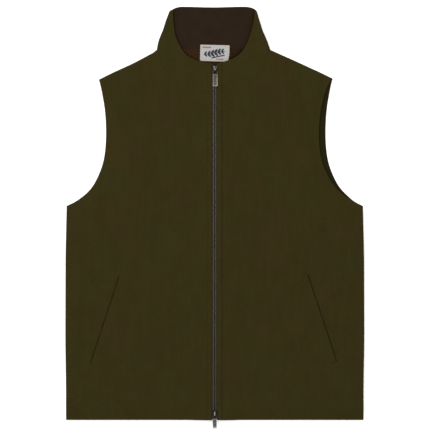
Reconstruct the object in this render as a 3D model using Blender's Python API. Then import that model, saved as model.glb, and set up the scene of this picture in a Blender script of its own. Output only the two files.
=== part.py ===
# A zip gilet with a sherpa back lining, laid flat with its front up.
# Sizes are in millimetres until a mesh is made. In the tables x runs out from the
# centre front and y runs up from the hem; z is the height above the table.

import math

import bpy
import numpy as np

MM = 0.001

# Cut of the body
HEM_HALF_WIDTH = 280.0
UNDERARM = (278.8, 401.0)
SHOULDER_TIP = (219.1, 639.0)
NECK_CORNER = (105.7, 694.5)
ARMHOLE = (  # x, y
    UNDERARM,
    (257.9, 412.3),
    (233.5, 434.9),
    (217.5, 464.9),
    (209.0, 495.0),
    (205.9, 534.0),
    (207.6, 577.0),
    (213.7, 615.3),
    SHOULDER_TIP,
)
FRONT_EDGE = 5.6  # each front stops this far from the middle of the zip
NECK_FRONT_Y = 613.0
NECK_BACK_Y = 701.0
NECK_BACK_DIP = 8.0
ARMHOLE_REVEAL = {"left": 11.5, "right": 0.8}  # how far a front is cut inside the back
REVEAL_LEAN, REVEAL_FULLNESS = 0.85, 0.7
CURVE_STEPS = 24
SHARE_STEPS = 2001
NECK_TURNS = 91

# Collar
FOLD_FOOT = (100.7, 693.3)  # where the axis of each side fold meets the neck seam
FOLD_TOP = (78.5, 763.0)
COLLAR_FRONT_TOP_Y = 670.0
COLLAR_BACK_TOP_Y = 774.0
COLLAR_CORNER_START = 57.0
COLLAR_CORNER_RISE = 1.0
COLLAR_CORNER_POWER = 2.4

# Layers, as heights
BACK_WALL = 2.2
LINING_LOW, LINING_HIGH = 2.5, 5.0
FRONT_TOP, FRONT_WALL = 9.8, 4.4
EDGE_TOP, EDGE_WALL = 5.8, 3.2  # a front where it sinks onto the back's edge
SINK_REACH = 24.0
ZIP_RISE, ZIP_WALL = 1.2, 2.5  # a front beside the zip
ZIP_RISE_INNER, ZIP_RISE_OUTER = 20.0, 55.0
FOLD_MIDDLE = 4.9
COLLAR_WALLS = {  # radius of the side fold, wall, rise at the zip
    "collar": (4.9, 2.2, 1.2),
    "collar_lining": (2.4, 2.0, 0.9),
}
LINING_FRONT_EDGE = 16.6
SEAM_ROLL = 6.0  # how far in a seam's rolled edge reaches
SEAM_WALL = 2.2
SOFT_EDGE = 0.9
GAP = 0.3

# Insets of the back lining from the outline
LINING_SIDE, LINING_HEM, LINING_ARMHOLE, LINING_SHOULDER = 9.0, 27.0, 36.0, 10.0
LINING_UNDERARM_Y = 362.0
LINING_TURN = 6.0

# Soft folds of the fronts
FOLDS = {
    "left": (  # x, y, half length, half width, height, lean in degrees
        (198.0, 372.0, 70.0, 46.0, 1.9, 28.0),
        (158.0, 470.0, 105.0, 42.0, 1.2, -8.0),
        (118.0, 150.0, 115.0, 50.0, 1.0, 6.0),
    ),
    "right": (
        (214.0, 350.0, 80.0, 40.0, 1.8, 16.0),
        (160.0, 500.0, 95.0, 44.0, 1.3, 4.0),
        (112.0, 180.0, 120.0, 52.0, 1.0, -5.0),
    ),
}

# Pocket welts: the free edge runs from the top point to the foot
WELT_TOP, WELT_FOOT = (179.4, 267.5), (233.5, 104.3)
WELT_SEWN_WALL = 0.5
WELT_SECTION = (  # distance in from the free edge, wall
    (0.0, 0.9),
    (0.8, 1.4),
    (11.0, 1.1),
    (21.0, 0.8),
    (22.0, WELT_SEWN_WALL),
)
WELT_STATIONS = (0.0, 0.02, 0.2, 0.4, 0.6, 0.8, 0.98, 1.0)

LABEL_HALF, LABEL_LOW = 27.5, 674.0
LABEL_STEPS = (0.0, 1.0, 3.0, 16.0, 27.4, 30.7)  # its rows, up from its lower edge
LABEL_COLUMNS = 7
LABEL_WALL = 0.5
LABEL_CORNER = 3.0
LABEL_SEAM_REACH = 1.0

# Zip
TAPE_LOW, TAPE_HIGH, TAPE_INNER, TAPE_OUTER = 7.5, 8.2, 3.1, 14.5
TAPE_ENDS = (3.0, 668.0)
ZIP_ROWS = 9
CHAIN_LOW, CHAIN_HIGH, CHAIN_HALF, CHAIN_BEVEL = 6.7, 9.1, 2.8, 0.5
SLIDER_LENGTH, SLIDER_HALF, SLIDER_LOW, SLIDER_HIGH = 12.4, 4.5, 5.3, 10.6
SLIDER_PLATE, SLIDER_UNDER_PLATE = 1.2, 1.1
SLIDER_OUTLINE = (  # share of the half length, towards the tab; share of the half width
    (-1.0, 0.84),
    (-0.88, 1.0),
    (0.4, 0.97),
    (0.9, 0.93),
    (1.0, 0.86),
)
SLIDER_THROAT_HALF = 3.3
SLIDER_SLOT = (7.2, 8.5)
SLIDER_MIDDLES = {"top": 658.0, "bottom": 9.5}
PLATE_OVERLAP = 0.4  # how far the post and the bail go into the plates
POST_INNER, POST_OUTER, POST_HALF = 2.5, 5.4, 0.8
BAIL_HALF, BAIL_LOW, BAIL_HIGH, BAIL_BAR, BAIL_BEVEL = 0.8, 12.5, 13.3, 0.9, 0.5
BAIL_ENDS = (-6.0, 4.0)
PIN_BACK, PIN_HEIGHT, PIN_RADIUS = -4.3, 11.8, 0.55
PIN_SIDES = 8
PULLS = {  # half width, length from the pin, tilt of its tip below level in degrees
    "top": (4.9, 28.2, 3.0),
    "bottom": (3.8, 23.1, 16.0),
}
PULL_NECK_HALF, PULL_NECK_INNER, PULL_NECK, ARM_OVERLAP = 2.6, 1.2, 4.0, 0.6
PULL_WALL, PULL_NECK_WALL, PULL_RECESS = 1.8, 1.0, 0.4
PULL_BORDER = (1.5, 3.2)
PULL_CORNER, RECESS_CORNER = 0.9, 0.5
CUT_CLEARANCE = 1.0

# The origin is under the middle of the box: the collar's top edge to the lower pull's tip
LOWEST_Y = SLIDER_MIDDLES["bottom"] + PIN_BACK - PULLS["bottom"][1] * math.cos(
    math.radians(PULLS["bottom"][2])
)
MIDDLE_Y = (LOWEST_Y + COLLAR_BACK_TOP_Y + COLLAR_CORNER_RISE) / 2

COLOURS = {  # red, green, blue as linear values, roughness, metallic
    "outer_cloth": (0.037, 0.030, 0.009, 0.95, 0.0),
    "sherpa": (0.040, 0.020, 0.009, 1.0, 0.0),
    "collar_fleece": (0.026, 0.015, 0.010, 0.95, 0.0),
    "label_weave": (0.70, 0.68, 0.64, 0.8, 0.0),
    "zip_tape": (0.022, 0.018, 0.008, 0.9, 0.0),
    "gunmetal": (0.22, 0.21, 0.19, 0.4, 1.0),
    "pull_metal": (0.42, 0.40, 0.36, 0.35, 1.0),
}
SHARP_ANGLE = 40


def clear_scene():
    for item in list(bpy.data.objects):
        bpy.data.objects.remove(item, do_unlink=True)


def make_material(name):
    red, green, blue, roughness, metallic = COLOURS[name]
    material = bpy.data.materials.new(name)
    material.use_nodes = True
    shader = material.node_tree.nodes["Principled BSDF"]
    shader.inputs["Base Color"].default_value = (red, green, blue, 1.0)
    shader.inputs["Roughness"].default_value = roughness
    shader.inputs["Metallic"].default_value = metallic
    return material


def smoothstep(value):
    value = np.clip(value, 0.0, 1.0)
    return value * value * (3 - 2 * value)


def smooth_path(points):
    """A curve through the points, each stretch bending towards its neighbours."""
    points = np.array(points, float)
    padded = np.vstack([2 * points[0] - points[1], points, 2 * points[-1] - points[-2]])
    found = []
    for i in range(len(points) - 1):
        a, b, c, d = padded[i : i + 4]
        for t in np.linspace(0, 1, CURVE_STEPS, endpoint=False):
            found.append(
                b
                + (c - a) * t / 2
                + (a - 2.5 * b + 2 * c - d / 2) * t**2
                + (1.5 * (b - c) + (d - a) / 2) * t**3
            )
    return np.array(found + [points[-1]])


def normals_of(path):
    """Unit normals on the right-hand side of each point of a path."""
    ahead = np.gradient(path, axis=0)
    normals = np.stack([ahead[:, 1], -ahead[:, 0]], axis=1)
    return normals / np.linalg.norm(normals, axis=1)[:, None]


def along(path, fraction):
    lengths = np.linalg.norm(np.diff(path, axis=0), axis=1)
    reached = np.concatenate([[0], np.cumsum(lengths)]) / lengths.sum()
    return np.array([np.interp(fraction, reached, path[:, k]) for k in (0, 1)])


def shoulder_distance(points):
    """How far the points lie below the straight shoulder seam."""
    points = np.asarray(points, float)
    along_seam = np.subtract(SHOULDER_TIP, NECK_CORNER)
    inward = np.array([along_seam[1], -along_seam[0]]) / np.linalg.norm(along_seam)
    return (points - NECK_CORNER) @ inward


def at_shoulder_distance(path, distance):
    """The point of a path that ends on the shoulder seam, this far below the seam."""
    depths = shoulder_distance(path)[::-1]
    depths = np.maximum.accumulate(depths)
    return np.array([np.interp(distance, depths, path[::-1, k]) for k in (0, 1)])


def armhole_path(side=None):
    """The armhole from the underarm up: the back's, or that of one front."""
    path = smooth_path(ARMHOLE)
    if side is None:
        return path
    share = np.linspace(0, 1, len(path)) ** REVEAL_LEAN
    reveal = ARMHOLE_REVEAL[side] * np.sin(math.pi * share) ** REVEAL_FULLNESS
    return path - normals_of(path) * reveal[:, None]


def distance_to(path, x, y):
    points = np.stack([np.ravel(x), np.ravel(y)], axis=1)
    gaps = np.linalg.norm(points[:, None, :] - path[None, :, :], axis=2).min(axis=1)
    return gaps.reshape(np.shape(x))


def near_zip(x):
    reach = ZIP_RISE_OUTER - ZIP_RISE_INNER
    return 1 - smoothstep((np.abs(x) - ZIP_RISE_INNER) / reach)


def fold_height(side, x, y):
    height = np.zeros(np.shape(x))
    for fold_x, fold_y, half_length, half_width, rise, lean in FOLDS.get(side, ()):
        turn = math.radians(lean)
        across = (x - fold_x) * math.cos(turn) - (y - fold_y) * math.sin(turn)
        down = (x - fold_x) * math.sin(turn) + (y - fold_y) * math.cos(turn)
        shape_across = np.cos(math.pi / 2 * np.clip(across / half_width, -1, 1))
        shape_down = np.cos(math.pi / 2 * np.clip(down / half_length, -1, 1))
        height += rise * shape_across**2 * shape_down**2
    return height


def front_heights(x, y, side=None):
    """Top and bottom of a front; without a side, the plain cloth that the seams follow."""
    beside_zip = near_zip(x)
    armhole_sink = 1 - smoothstep(distance_to(armhole_path(side), x, y) / SINK_REACH)
    hem_sink = (1 - smoothstep(y / SINK_REACH)) * (1 - beside_zip)
    sink = 1 - (1 - armhole_sink) * (1 - hem_sink)
    top = FRONT_TOP + ZIP_RISE * beside_zip - (FRONT_TOP - EDGE_TOP) * sink
    wall = FRONT_WALL + (ZIP_WALL - FRONT_WALL) * beside_zip
    wall = wall + (EDGE_WALL - FRONT_WALL) * sink
    top = top + fold_height(side, x, y) * (1 - sink) * (1 - beside_zip)
    return top, top - wall


def seam_height(x, y):
    return front_heights(x, y)[0] / 2


ROLL = np.radians([90, 60, 30, 0])
HEM_ROWS = np.radians([0, 45, 90])
SIDE_ROWS = (12.0, 24.0, 60.0, 104.0, 150.0, 200.0, 250.0, 300.0, 345.0, 380.0, 401.0)
UNDERARM_ROWS = (  # y at the middle, share of the armhole
    (406.0, 0.02),
    (415.0, 0.07),
    (432.0, 0.13),
    (462.0, 0.22),
    (498.0, 0.32),
    (536.0, 0.42),
    (575.0, 0.52),
    (NECK_FRONT_Y, 0.61),
)
NECK_DEPTHS = (110.0, 101.0, 87.0, 68.0, 51.0, 36.0)
NEAR_SHOULDER = (22.0, 12.0)
ROLL_WEIGHT_SHARE = 0.12


def roll_distances(inset):
    """Distances from a seam at which one face of its rolled edge has points."""
    return inset + (SEAM_ROLL - inset) * (1 - np.cos(ROLL))


def neck_ellipse(turns, shrink=0.0):
    """Points of the front neck seam, from the zip (90) to the collar's fold (0)."""
    reach = FOLD_FOOT[0] + GAP - FRONT_EDGE - shrink
    drop = FOLD_FOOT[1] - GAP - NECK_FRONT_Y
    x = FRONT_EDGE + reach * np.cos(turns)
    y = FOLD_FOOT[1] - GAP + shrink - drop * np.sin(turns)
    return np.stack([x, y], axis=1)


def neck_path():
    """The neck edge of a front, from the zip round to the shoulder seam."""
    return np.vstack([neck_ellipse(np.radians(np.linspace(90, 0, NECK_TURNS))), NECK_CORNER])


def front_rows(side, inset):
    """For each row of a front: its two ends, then how far hem, seam and shoulder round it."""
    armhole, neck = armhole_path(side), neck_path()
    rows = []

    def add(inner, outer, hem=1.0, seam=1.0, shoulder=1.0):
        rows.append((np.array(inner), np.array(outer), hem, seam, shoulder))

    def side_x(y):
        return HEM_HALF_WIDTH + (UNDERARM[0] - HEM_HALF_WIDTH) * y / UNDERARM[1]

    for turn in HEM_ROWS:
        y = SOFT_EDGE * (1 - math.cos(turn))
        add((FRONT_EDGE, y), (side_x(y), y), hem=math.sin(turn))
    for y in SIDE_ROWS:
        add((FRONT_EDGE, y), (side_x(y), y))
    for y, share in UNDERARM_ROWS:
        seam = 1 - smoothstep(share / ROLL_WEIGHT_SHARE)
        add((FRONT_EDGE, y), along(armhole, share), seam=float(seam))
    near = at_shoulder_distance(armhole, NEAR_SHOULDER[0])
    first = UNDERARM_ROWS[-1][1]
    shares = np.linspace(0, 1, SHARE_STEPS)
    last = shares[np.argmin([np.linalg.norm(along(armhole, s) - near) for s in shares])]
    for i, depth in enumerate(NECK_DEPTHS):
        share = first + (last - first) * (i + 1) / (len(NECK_DEPTHS) + 1)
        add(at_shoulder_distance(neck, depth), along(armhole, share), seam=0.0)
    for depth in NEAR_SHOULDER:
        add(at_shoulder_distance(neck, depth), at_shoulder_distance(armhole, depth), seam=0.0)
    for turn, depth in zip(ROLL, roll_distances(inset)):
        ends = at_shoulder_distance(neck, depth), at_shoulder_distance(armhole, depth)
        add(*ends, seam=0.0, shoulder=math.sin(turn))
    return rows


INNER_TURNS = np.radians([0, 45, 90])
INNER_STEPS = (14.4, 31.0, 49.0)
OUTER_STEPS = (22.0, 12.0)
FRONT_COLUMNS = 5


def front_face(side, upper):
    """The grid of points of one face of a front, on the wearer's left."""
    inset = 0.0 if upper else SEAM_WALL
    rows = front_rows(side, inset)
    grid = []
    for inner, outer, hem, seam, shoulder in rows:
        length = np.linalg.norm(outer - inner)
        roll = roll_distances(inset) * seam + SOFT_EDGE * (1 - np.cos(ROLL)) * (1 - seam)
        start = np.concatenate([SOFT_EDGE * (1 - np.cos(INNER_TURNS)), INNER_STEPS])
        end = length - np.concatenate([OUTER_STEPS, roll])
        middle = np.linspace(start[-1], end[0], FRONT_COLUMNS + 2)[1:-1]
        reach = np.concatenate([start, middle, end])
        plain = len(reach) - len(INNER_TURNS) - len(ROLL)
        edge = np.concatenate([np.sin(INNER_TURNS), np.ones(plain + len(ROLL))])
        rolled = np.concatenate([np.ones(plain + len(INNER_TURNS)), np.sin(ROLL)])
        x, y = (inner + (outer - inner) * (reach / length)[:, None]).T
        top, bottom = front_heights(x, y, side)
        face, turned = (top, -1) if upper else (bottom, 1)
        z = face + turned * SOFT_EDGE * ((1 - edge) + (1 - hem))
        level = seam_height(x, y) + GAP / 2
        z_open = z + turned * SOFT_EDGE * (1 - rolled)
        z_seam = level + (z - level) * rolled
        z = z_open * (1 - seam) + z_seam * seam
        z = level + (z - level) * shoulder
        grid.append(np.stack([x, y, z], axis=1))
    return np.array(grid)


BACK_COLUMNS = (0.0, 25.0, 50.0, 75.0)
BACK_SHOULDER_COLUMNS = (0.35, 0.7)
BACK_NECK_POINTS = 20


def back_neck_y(x):
    return NECK_BACK_Y - NECK_BACK_DIP * (np.abs(x) / FOLD_FOOT[0]) ** 2


def back_top(x):
    """The top edge of the back: neck seam, then shoulder seam."""
    foot = (FOLD_FOOT[0] + GAP, FOLD_FOOT[1] - GAP)
    inner = np.linspace(0, foot[0], BACK_NECK_POINTS)
    xs = np.concatenate([inner, [NECK_CORNER[0], SHOULDER_TIP[0]]])
    ys = np.concatenate([back_neck_y(inner) - GAP, [NECK_CORNER[1], SHOULDER_TIP[1]]])
    return np.interp(x, xs, ys)


def back_face(upper):
    """The grid of points of one face of the back, from side to side."""
    inset = SEAM_WALL if upper else 0.0
    tip_x, tip_y = SHOULDER_TIP
    foot_x = FOLD_FOOT[0] + GAP
    shoulder = tip_x - OUTER_STEPS[0] - NECK_CORNER[0]
    fixed = [*BACK_COLUMNS, foot_x, NECK_CORNER[0]]
    fixed += [NECK_CORNER[0] + shoulder * part for part in BACK_SHOULDER_COLUMNS]
    fixed = np.array(fixed) / (tip_x - OUTER_STEPS[0])
    columns = len(fixed) + len(OUTER_STEPS) + len(ROLL)
    rolls_at_top = np.arange(columns) > len(BACK_COLUMNS)
    rise = NECK_BACK_Y - GAP - tip_y
    full_depth = float(shoulder_distance(UNDERARM))
    last_flat = len(HEM_ROWS) + len(SIDE_ROWS)
    grid = []
    for i, (_, outer, hem, seam, top_roll) in enumerate(front_rows(None, inset)):
        outer_x, outer_y = outer
        if i < last_flat:
            middle_y = outer_y
        else:
            depth = max(float(shoulder_distance(outer)), 0.0)
            reached = 1 - depth / full_depth
            middle_y = UNDERARM[1] + (NECK_BACK_Y - GAP - UNDERARM[1]) * reached
        roll = roll_distances(inset) * seam + SOFT_EDGE * (1 - np.cos(ROLL)) * (1 - seam)
        x = np.concatenate(
            [fixed * (outer_x - OUTER_STEPS[0]), outer_x - np.concatenate([OUTER_STEPS, roll])]
        )
        y = outer_y + (middle_y - outer_y) * (back_top(x / outer_x * tip_x) - tip_y) / rise
        rolled = np.concatenate([np.ones(len(x) - len(ROLL)), np.sin(ROLL)])
        face, turned = (BACK_WALL, -1) if upper else (0.0, 1)
        edge = SOFT_EDGE if upper else SOFT_EDGE / 2
        z = face + turned * edge * (1 - hem)
        level = seam_height(x, y) - GAP / 2
        z_open = z + turned * edge * (1 - rolled)
        z_seam = level + (z - level) * rolled
        z = z_open * (1 - seam) + z_seam * seam
        z_top = level + (z - level) * top_roll
        z = np.where(rolls_at_top, z_top, z + turned * edge * (1 - top_roll))
        grid.append(np.stack([x, y, z], axis=1))
    return mirrored(np.array(grid))


def mirrored(half):
    """A grid whose first column is at x = 0, completed on the other side."""
    other = half[:, :0:-1] * np.array([-1.0, 1.0, 1.0])
    return np.concatenate([other, half], axis=1)


LINING_ROWS = 17
LINING_COLUMNS = 9
LINING_EDGE = 1.6


def lining_outline():
    """The outer edge of the back lining, from hem to shoulder."""
    armhole = armhole_path()
    inner = armhole - normals_of(armhole) * LINING_ARMHOLE
    side_x = HEM_HALF_WIDTH - LINING_SIDE
    inner = inner[(inner[:, 1] > LINING_UNDERARM_Y) & (inner[:, 0] < side_x - LINING_TURN)]
    inner = inner[np.maximum.accumulate(inner[:, 1]) <= inner[:, 1]]
    inner = inner[shoulder_distance(inner) > LINING_SHOULDER]
    side = [(side_x, LINING_HEM), (side_x, LINING_UNDERARM_Y)]
    return np.vstack([side, inner])


def lining_face(upper):
    outline = lining_outline()
    top_x, top_y = outline[-1]

    def top_edge(x):
        slope = (SHOULDER_TIP[1] - NECK_CORNER[1]) / (SHOULDER_TIP[0] - NECK_CORNER[0])
        seam = NECK_CORNER[1] + slope * (x - NECK_CORNER[0])
        below = LINING_SHOULDER / math.cos(math.atan(slope))
        return np.minimum(back_neck_y(x) - 2 * GAP, seam - below)

    ys = np.linspace(LINING_HEM, top_y, LINING_ROWS)
    ys = np.sort(np.append(ys, [ys[0] + LINING_EDGE, ys[-1] - LINING_EDGE]))
    grid = []
    for i, y_side in enumerate(ys):
        outer_x = np.interp(y_side, outline[:, 1], outline[:, 0])
        share = np.linspace(0, 1, LINING_COLUMNS)
        x = np.append(share[:-1] * outer_x, [outer_x - LINING_EDGE, outer_x])
        lift = smoothstep((y_side - UNDERARM[1]) / (top_y - UNDERARM[1]))
        y = y_side + (top_edge(x / outer_x * top_x) - top_y) * lift
        rounding = np.zeros(len(x))
        rounding[-1] = SOFT_EDGE
        if i in (0, len(ys) - 1):
            rounding[:] = SOFT_EDGE
        z = LINING_HIGH - rounding if upper else np.full(len(x), LINING_LOW)
        grid.append(np.stack([x, y, z], axis=1))
    return mirrored(np.array(grid))


def wall(name, upper, lower, material, flip_x=False):
    """A closed wall between two grids of points with the same rows and columns."""
    rows, columns = upper.shape[:2]
    points = np.concatenate([upper.reshape(-1, 3), lower.reshape(-1, 3)])
    half = rows * columns
    faces = []
    for row in range(rows - 1):
        for column in range(columns - 1):
            a = row * columns + column
            b = a + columns
            faces.append((a, a + 1, b + 1, b))
            faces.append((half + a, half + b, half + b + 1, half + a + 1))
    rim = list(range(columns))
    rim += [row * columns + columns - 1 for row in range(1, rows)]
    rim += [(rows - 1) * columns + column for column in range(columns - 2, -1, -1)]
    rim += [row * columns for row in range(rows - 2, 0, -1)]
    for a, b in zip(rim, rim[1:] + rim[:1]):
        faces.append((b, a, half + a, half + b))
    if flip_x:
        points = points * np.array([-1.0, 1.0, 1.0])
    return solid(name, points, faces, material)


def volume_of(points, faces):
    total = 0.0
    for face in faces:
        for i in range(1, len(face) - 1):
            a, b, c = points[face[0]], points[face[i]], points[face[i + 1]]
            total += np.dot(a, np.cross(b, c))
    return total / 6


def solid(name, points, faces, material, local=False):
    """An object from points in millimetres; local ones already stand about its origin."""
    points = np.array(points, float)
    if volume_of(points, faces) < 0:
        faces = [face[::-1] for face in faces]
    if not local:
        points = points - np.array([0.0, MIDDLE_Y, 0.0])
    mesh = bpy.data.meshes.new(name)
    mesh.from_pydata((points * MM).tolist(), [], faces)
    mesh.shade_smooth()
    mesh.set_sharp_from_angle(angle=math.radians(SHARP_ANGLE))
    mesh.materials.append(material)
    made = bpy.data.objects.new(name, mesh)
    bpy.context.scene.collection.objects.link(made)
    return made


COLLAR_SHARES = (0.0, 0.014, 0.25, 0.5, 0.75, 0.986, 1.0)
COLLAR_FOLD_TURNS = np.radians([-67.5, -45, -22.5, 0, 22.5, 45, 67.5])
COLLAR_BACK = (0.0, 25.0, 50.0, 75.0, 84.0, 91.0, 97.0)
COLLAR_EDGE = 0.6
COLLAR_LINING_DROP = 1.0  # how far the lining's top edge stays below the collar's
TOP_EDGE_SHARE = 0.9
LAST_TURN_CLEARANCE = 0.05


def collar_back_top_y(x):
    """The back of the collar's top edge, level and then rounded down to the fold."""
    turn = np.clip((x - COLLAR_CORNER_START) / (FOLD_TOP[0] - COLLAR_CORNER_START), 0, 1)
    high = COLLAR_BACK_TOP_Y + COLLAR_CORNER_RISE * smoothstep(x / COLLAR_CORNER_START)
    rounded = (1 - turn**COLLAR_CORNER_POWER) ** (1 / COLLAR_CORNER_POWER)
    return FOLD_TOP[1] + (high - FOLD_TOP[1]) * rounded


def collar_rail_turns(front_edge):
    """Where the collar's columns cross the front neck seam, from fold to zip."""
    neck = neck_path()
    depths = [SEAM_ROLL, *NEAR_SHOULDER[::-1], *NECK_DEPTHS[::-1]]
    xs = np.array([at_shoulder_distance(neck, depth)[0] for depth in depths])
    reach = FOLD_FOOT[0] + GAP - FRONT_EDGE
    turns = np.arccos(np.clip((xs - FRONT_EDGE) / reach, 0, 1))
    last = math.acos((front_edge - FRONT_EDGE) / reach)
    turns = [turn for turn in turns if turn < last - LAST_TURN_CLEARANCE]
    return np.array([*turns, last])


def collar_faces(kind):
    """Both faces of half of a collar layer, each a grid of columns from centre back."""
    radius, layer_wall, zip_rise = COLLAR_WALLS[kind]
    lining = kind == "collar_lining"
    foot, top = np.array(FOLD_FOOT), np.array(FOLD_TOP)
    up = (top - foot) / np.linalg.norm(top - foot)
    out = np.array([up[1], -up[0]])
    shares = np.array(COLLAR_SHARES)
    rounding = COLLAR_EDGE * np.isin(np.arange(len(shares)), (0, len(shares) - 1))
    lowered = COLLAR_LINING_DROP if lining else 0.0
    drop = np.where(shares > TOP_EDGE_SHARE, lowered, 0.0)[:, None] * -up
    turns = collar_rail_turns(LINING_FRONT_EDGE if lining else FRONT_EDGE)
    faces = []
    for outer in (True, False):
        size = radius if outer else radius - layer_wall
        inward = rounding * (1 if outer else -1)
        columns = []
        for x in COLLAR_BACK:
            x_top = x * FOLD_TOP[0] / FOLD_FOOT[0]
            low = np.array([x, float(back_neck_y(x))])
            high = np.array([x_top, float(collar_back_top_y(x_top))])
            place = low + (high - low) * shares[:, None] + drop
            columns.append(np.column_stack([place, FOLD_MIDDLE - size + inward]))
        for turn in COLLAR_FOLD_TURNS:
            place = foot + (top - foot) * shares[:, None] + drop
            reach = size - inward
            place = place + out * (reach * math.cos(turn))[:, None]
            columns.append(np.column_stack([place, FOLD_MIDDLE + reach * math.sin(turn)]))
        lows = neck_ellipse(turns, GAP)
        highs_x = FRONT_EDGE + (FOLD_TOP[0] - FRONT_EDGE) * np.cos(turns)
        highs_y = FOLD_TOP[1] - (FOLD_TOP[1] - COLLAR_FRONT_TOP_Y) * np.sin(turns)
        front = [(foot, top)] + list(zip(lows, np.stack([highs_x, highs_y], axis=1)))
        for i, (low, high) in enumerate(front):
            place = low + (high - low) * shares[:, None] + drop
            if lining and i == len(front) - 1:
                place[:, 0] = LINING_FRONT_EDGE
            z = FOLD_MIDDLE + size + zip_rise * near_zip(place[:, 0]) - inward
            if not outer and not lining:
                z = z - (ZIP_WALL - layer_wall) * near_zip(place[:, 0])
            columns.append(np.column_stack([place, z]))
        faces.append(np.array(columns))
    return faces


def collar_layer(kind, material):
    outer, inner = collar_faces(kind)
    both = []
    for face in (outer, inner):
        other = face[:0:-1] * np.array([-1.0, 1.0, 1.0])
        both.append(np.concatenate([other, face]))
    return wall(kind, both[0], both[1], material)


def welt(side, material):
    """A welt whose points lie on its front, moved out, thick at the free edge."""
    top, foot = np.array(WELT_TOP), np.array(WELT_FOOT)
    down = (foot - top) / np.linalg.norm(foot - top)
    inward = np.array([down[1], -down[0]])
    across, section = np.array(WELT_SECTION).T
    lower, upper = [], []
    for share in WELT_STATIONS:
        ends = 0.0 if share in (0.0, 1.0) else 1.0
        place = top + (foot - top) * share + inward * across[:, None]
        x, y = place.T
        base = front_heights(x, y)[0] + GAP
        walls = WELT_SEWN_WALL + (section - WELT_SEWN_WALL) * ends
        lower.append(np.stack([x, y, base], axis=1))
        upper.append(np.stack([x, y, base + walls], axis=1))
    name = f"pocket_welt_{side}"
    return wall(name, np.array(upper), np.array(lower), material, flip_x=side == "right")


def label(material):
    """The neck label, on the sherpa and over the seam onto the collar lining."""
    radius, layer_wall, _ = COLLAR_WALLS["collar_lining"]
    lining_top = FOLD_MIDDLE - radius + layer_wall
    lower, upper = [], []
    for step in LABEL_STEPS:
        corner = max(0.0, LABEL_CORNER - step)
        pull_in = LABEL_CORNER - math.sqrt(LABEL_CORNER**2 - corner**2)
        x = np.linspace(-1, 1, LABEL_COLUMNS) * (LABEL_HALF - pull_in)
        y = np.full(len(x), LABEL_LOW + step)
        base = LINING_HIGH if y[0] <= NECK_BACK_Y + LABEL_SEAM_REACH else lining_top
        low = np.full(len(x), base + GAP)
        lower.append(np.stack([x, y, low], axis=1))
        upper.append(np.stack([x, y, low + LABEL_WALL], axis=1))
    return wall("neck_label", np.array(upper), np.array(lower), material)


def tape(side, material):
    ys = np.linspace(*TAPE_ENDS, ZIP_ROWS)
    xs = np.array([TAPE_INNER, TAPE_OUTER])
    faces = []
    for height in (TAPE_HIGH, TAPE_LOW):
        x, y = np.meshgrid(xs, ys)
        faces.append(np.stack([x, y, np.full(x.shape, height)], axis=2))
    return wall(f"zip_tape_{side}", *faces, material, flip_x=side == "right")


def loft(name, rings, material, local=False):
    """A closed solid through rings of points, its two ends capped."""
    count = len(rings[0])
    faces = []
    for i in range(len(rings) - 1):
        for k in range(count):
            a, b = i * count + k, i * count + (k + 1) % count
            faces.append((a, b, b + count, a + count))
    last = (len(rings) - 1) * count
    faces.append(tuple(range(count))[::-1])
    faces.append(tuple(range(last, last + count)))
    return solid(name, np.concatenate(rings), faces, material, local)


def chain(material):
    """The closed teeth as one bar with bevelled edges, between the two sliders' posts."""
    middle = (CHAIN_LOW + CHAIN_HIGH) / 2
    half = (CHAIN_HIGH - CHAIN_LOW) / 2
    inner, level = CHAIN_HALF - CHAIN_BEVEL, half - CHAIN_BEVEL
    section = [
        (-CHAIN_HALF, -level),
        (-inner, -half),
        (inner, -half),
        (CHAIN_HALF, -level),
        (CHAIN_HALF, level),
        (inner, half),
        (-inner, half),
        (-CHAIN_HALF, level),
    ]
    low_end = SLIDER_MIDDLES["bottom"] - POST_INNER + GAP
    high_end = SLIDER_MIDDLES["top"] + POST_INNER - GAP
    stations = np.linspace(low_end, high_end, ZIP_ROWS)
    rings = [[(x, y, middle + z) for x, z in section] for y in stations]
    return loft("zip_chain", rings, material)


def join(target, cutters, operation):
    for cutter in cutters:
        cutter.hide_render = True
        cutter.display_type = "WIRE"
        modifier = target.modifiers.new(f"{operation.lower()}_{cutter.name}", "BOOLEAN")
        modifier.operation = operation
        modifier.solver = "EXACT"
        modifier.object = cutter
    return target


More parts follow.
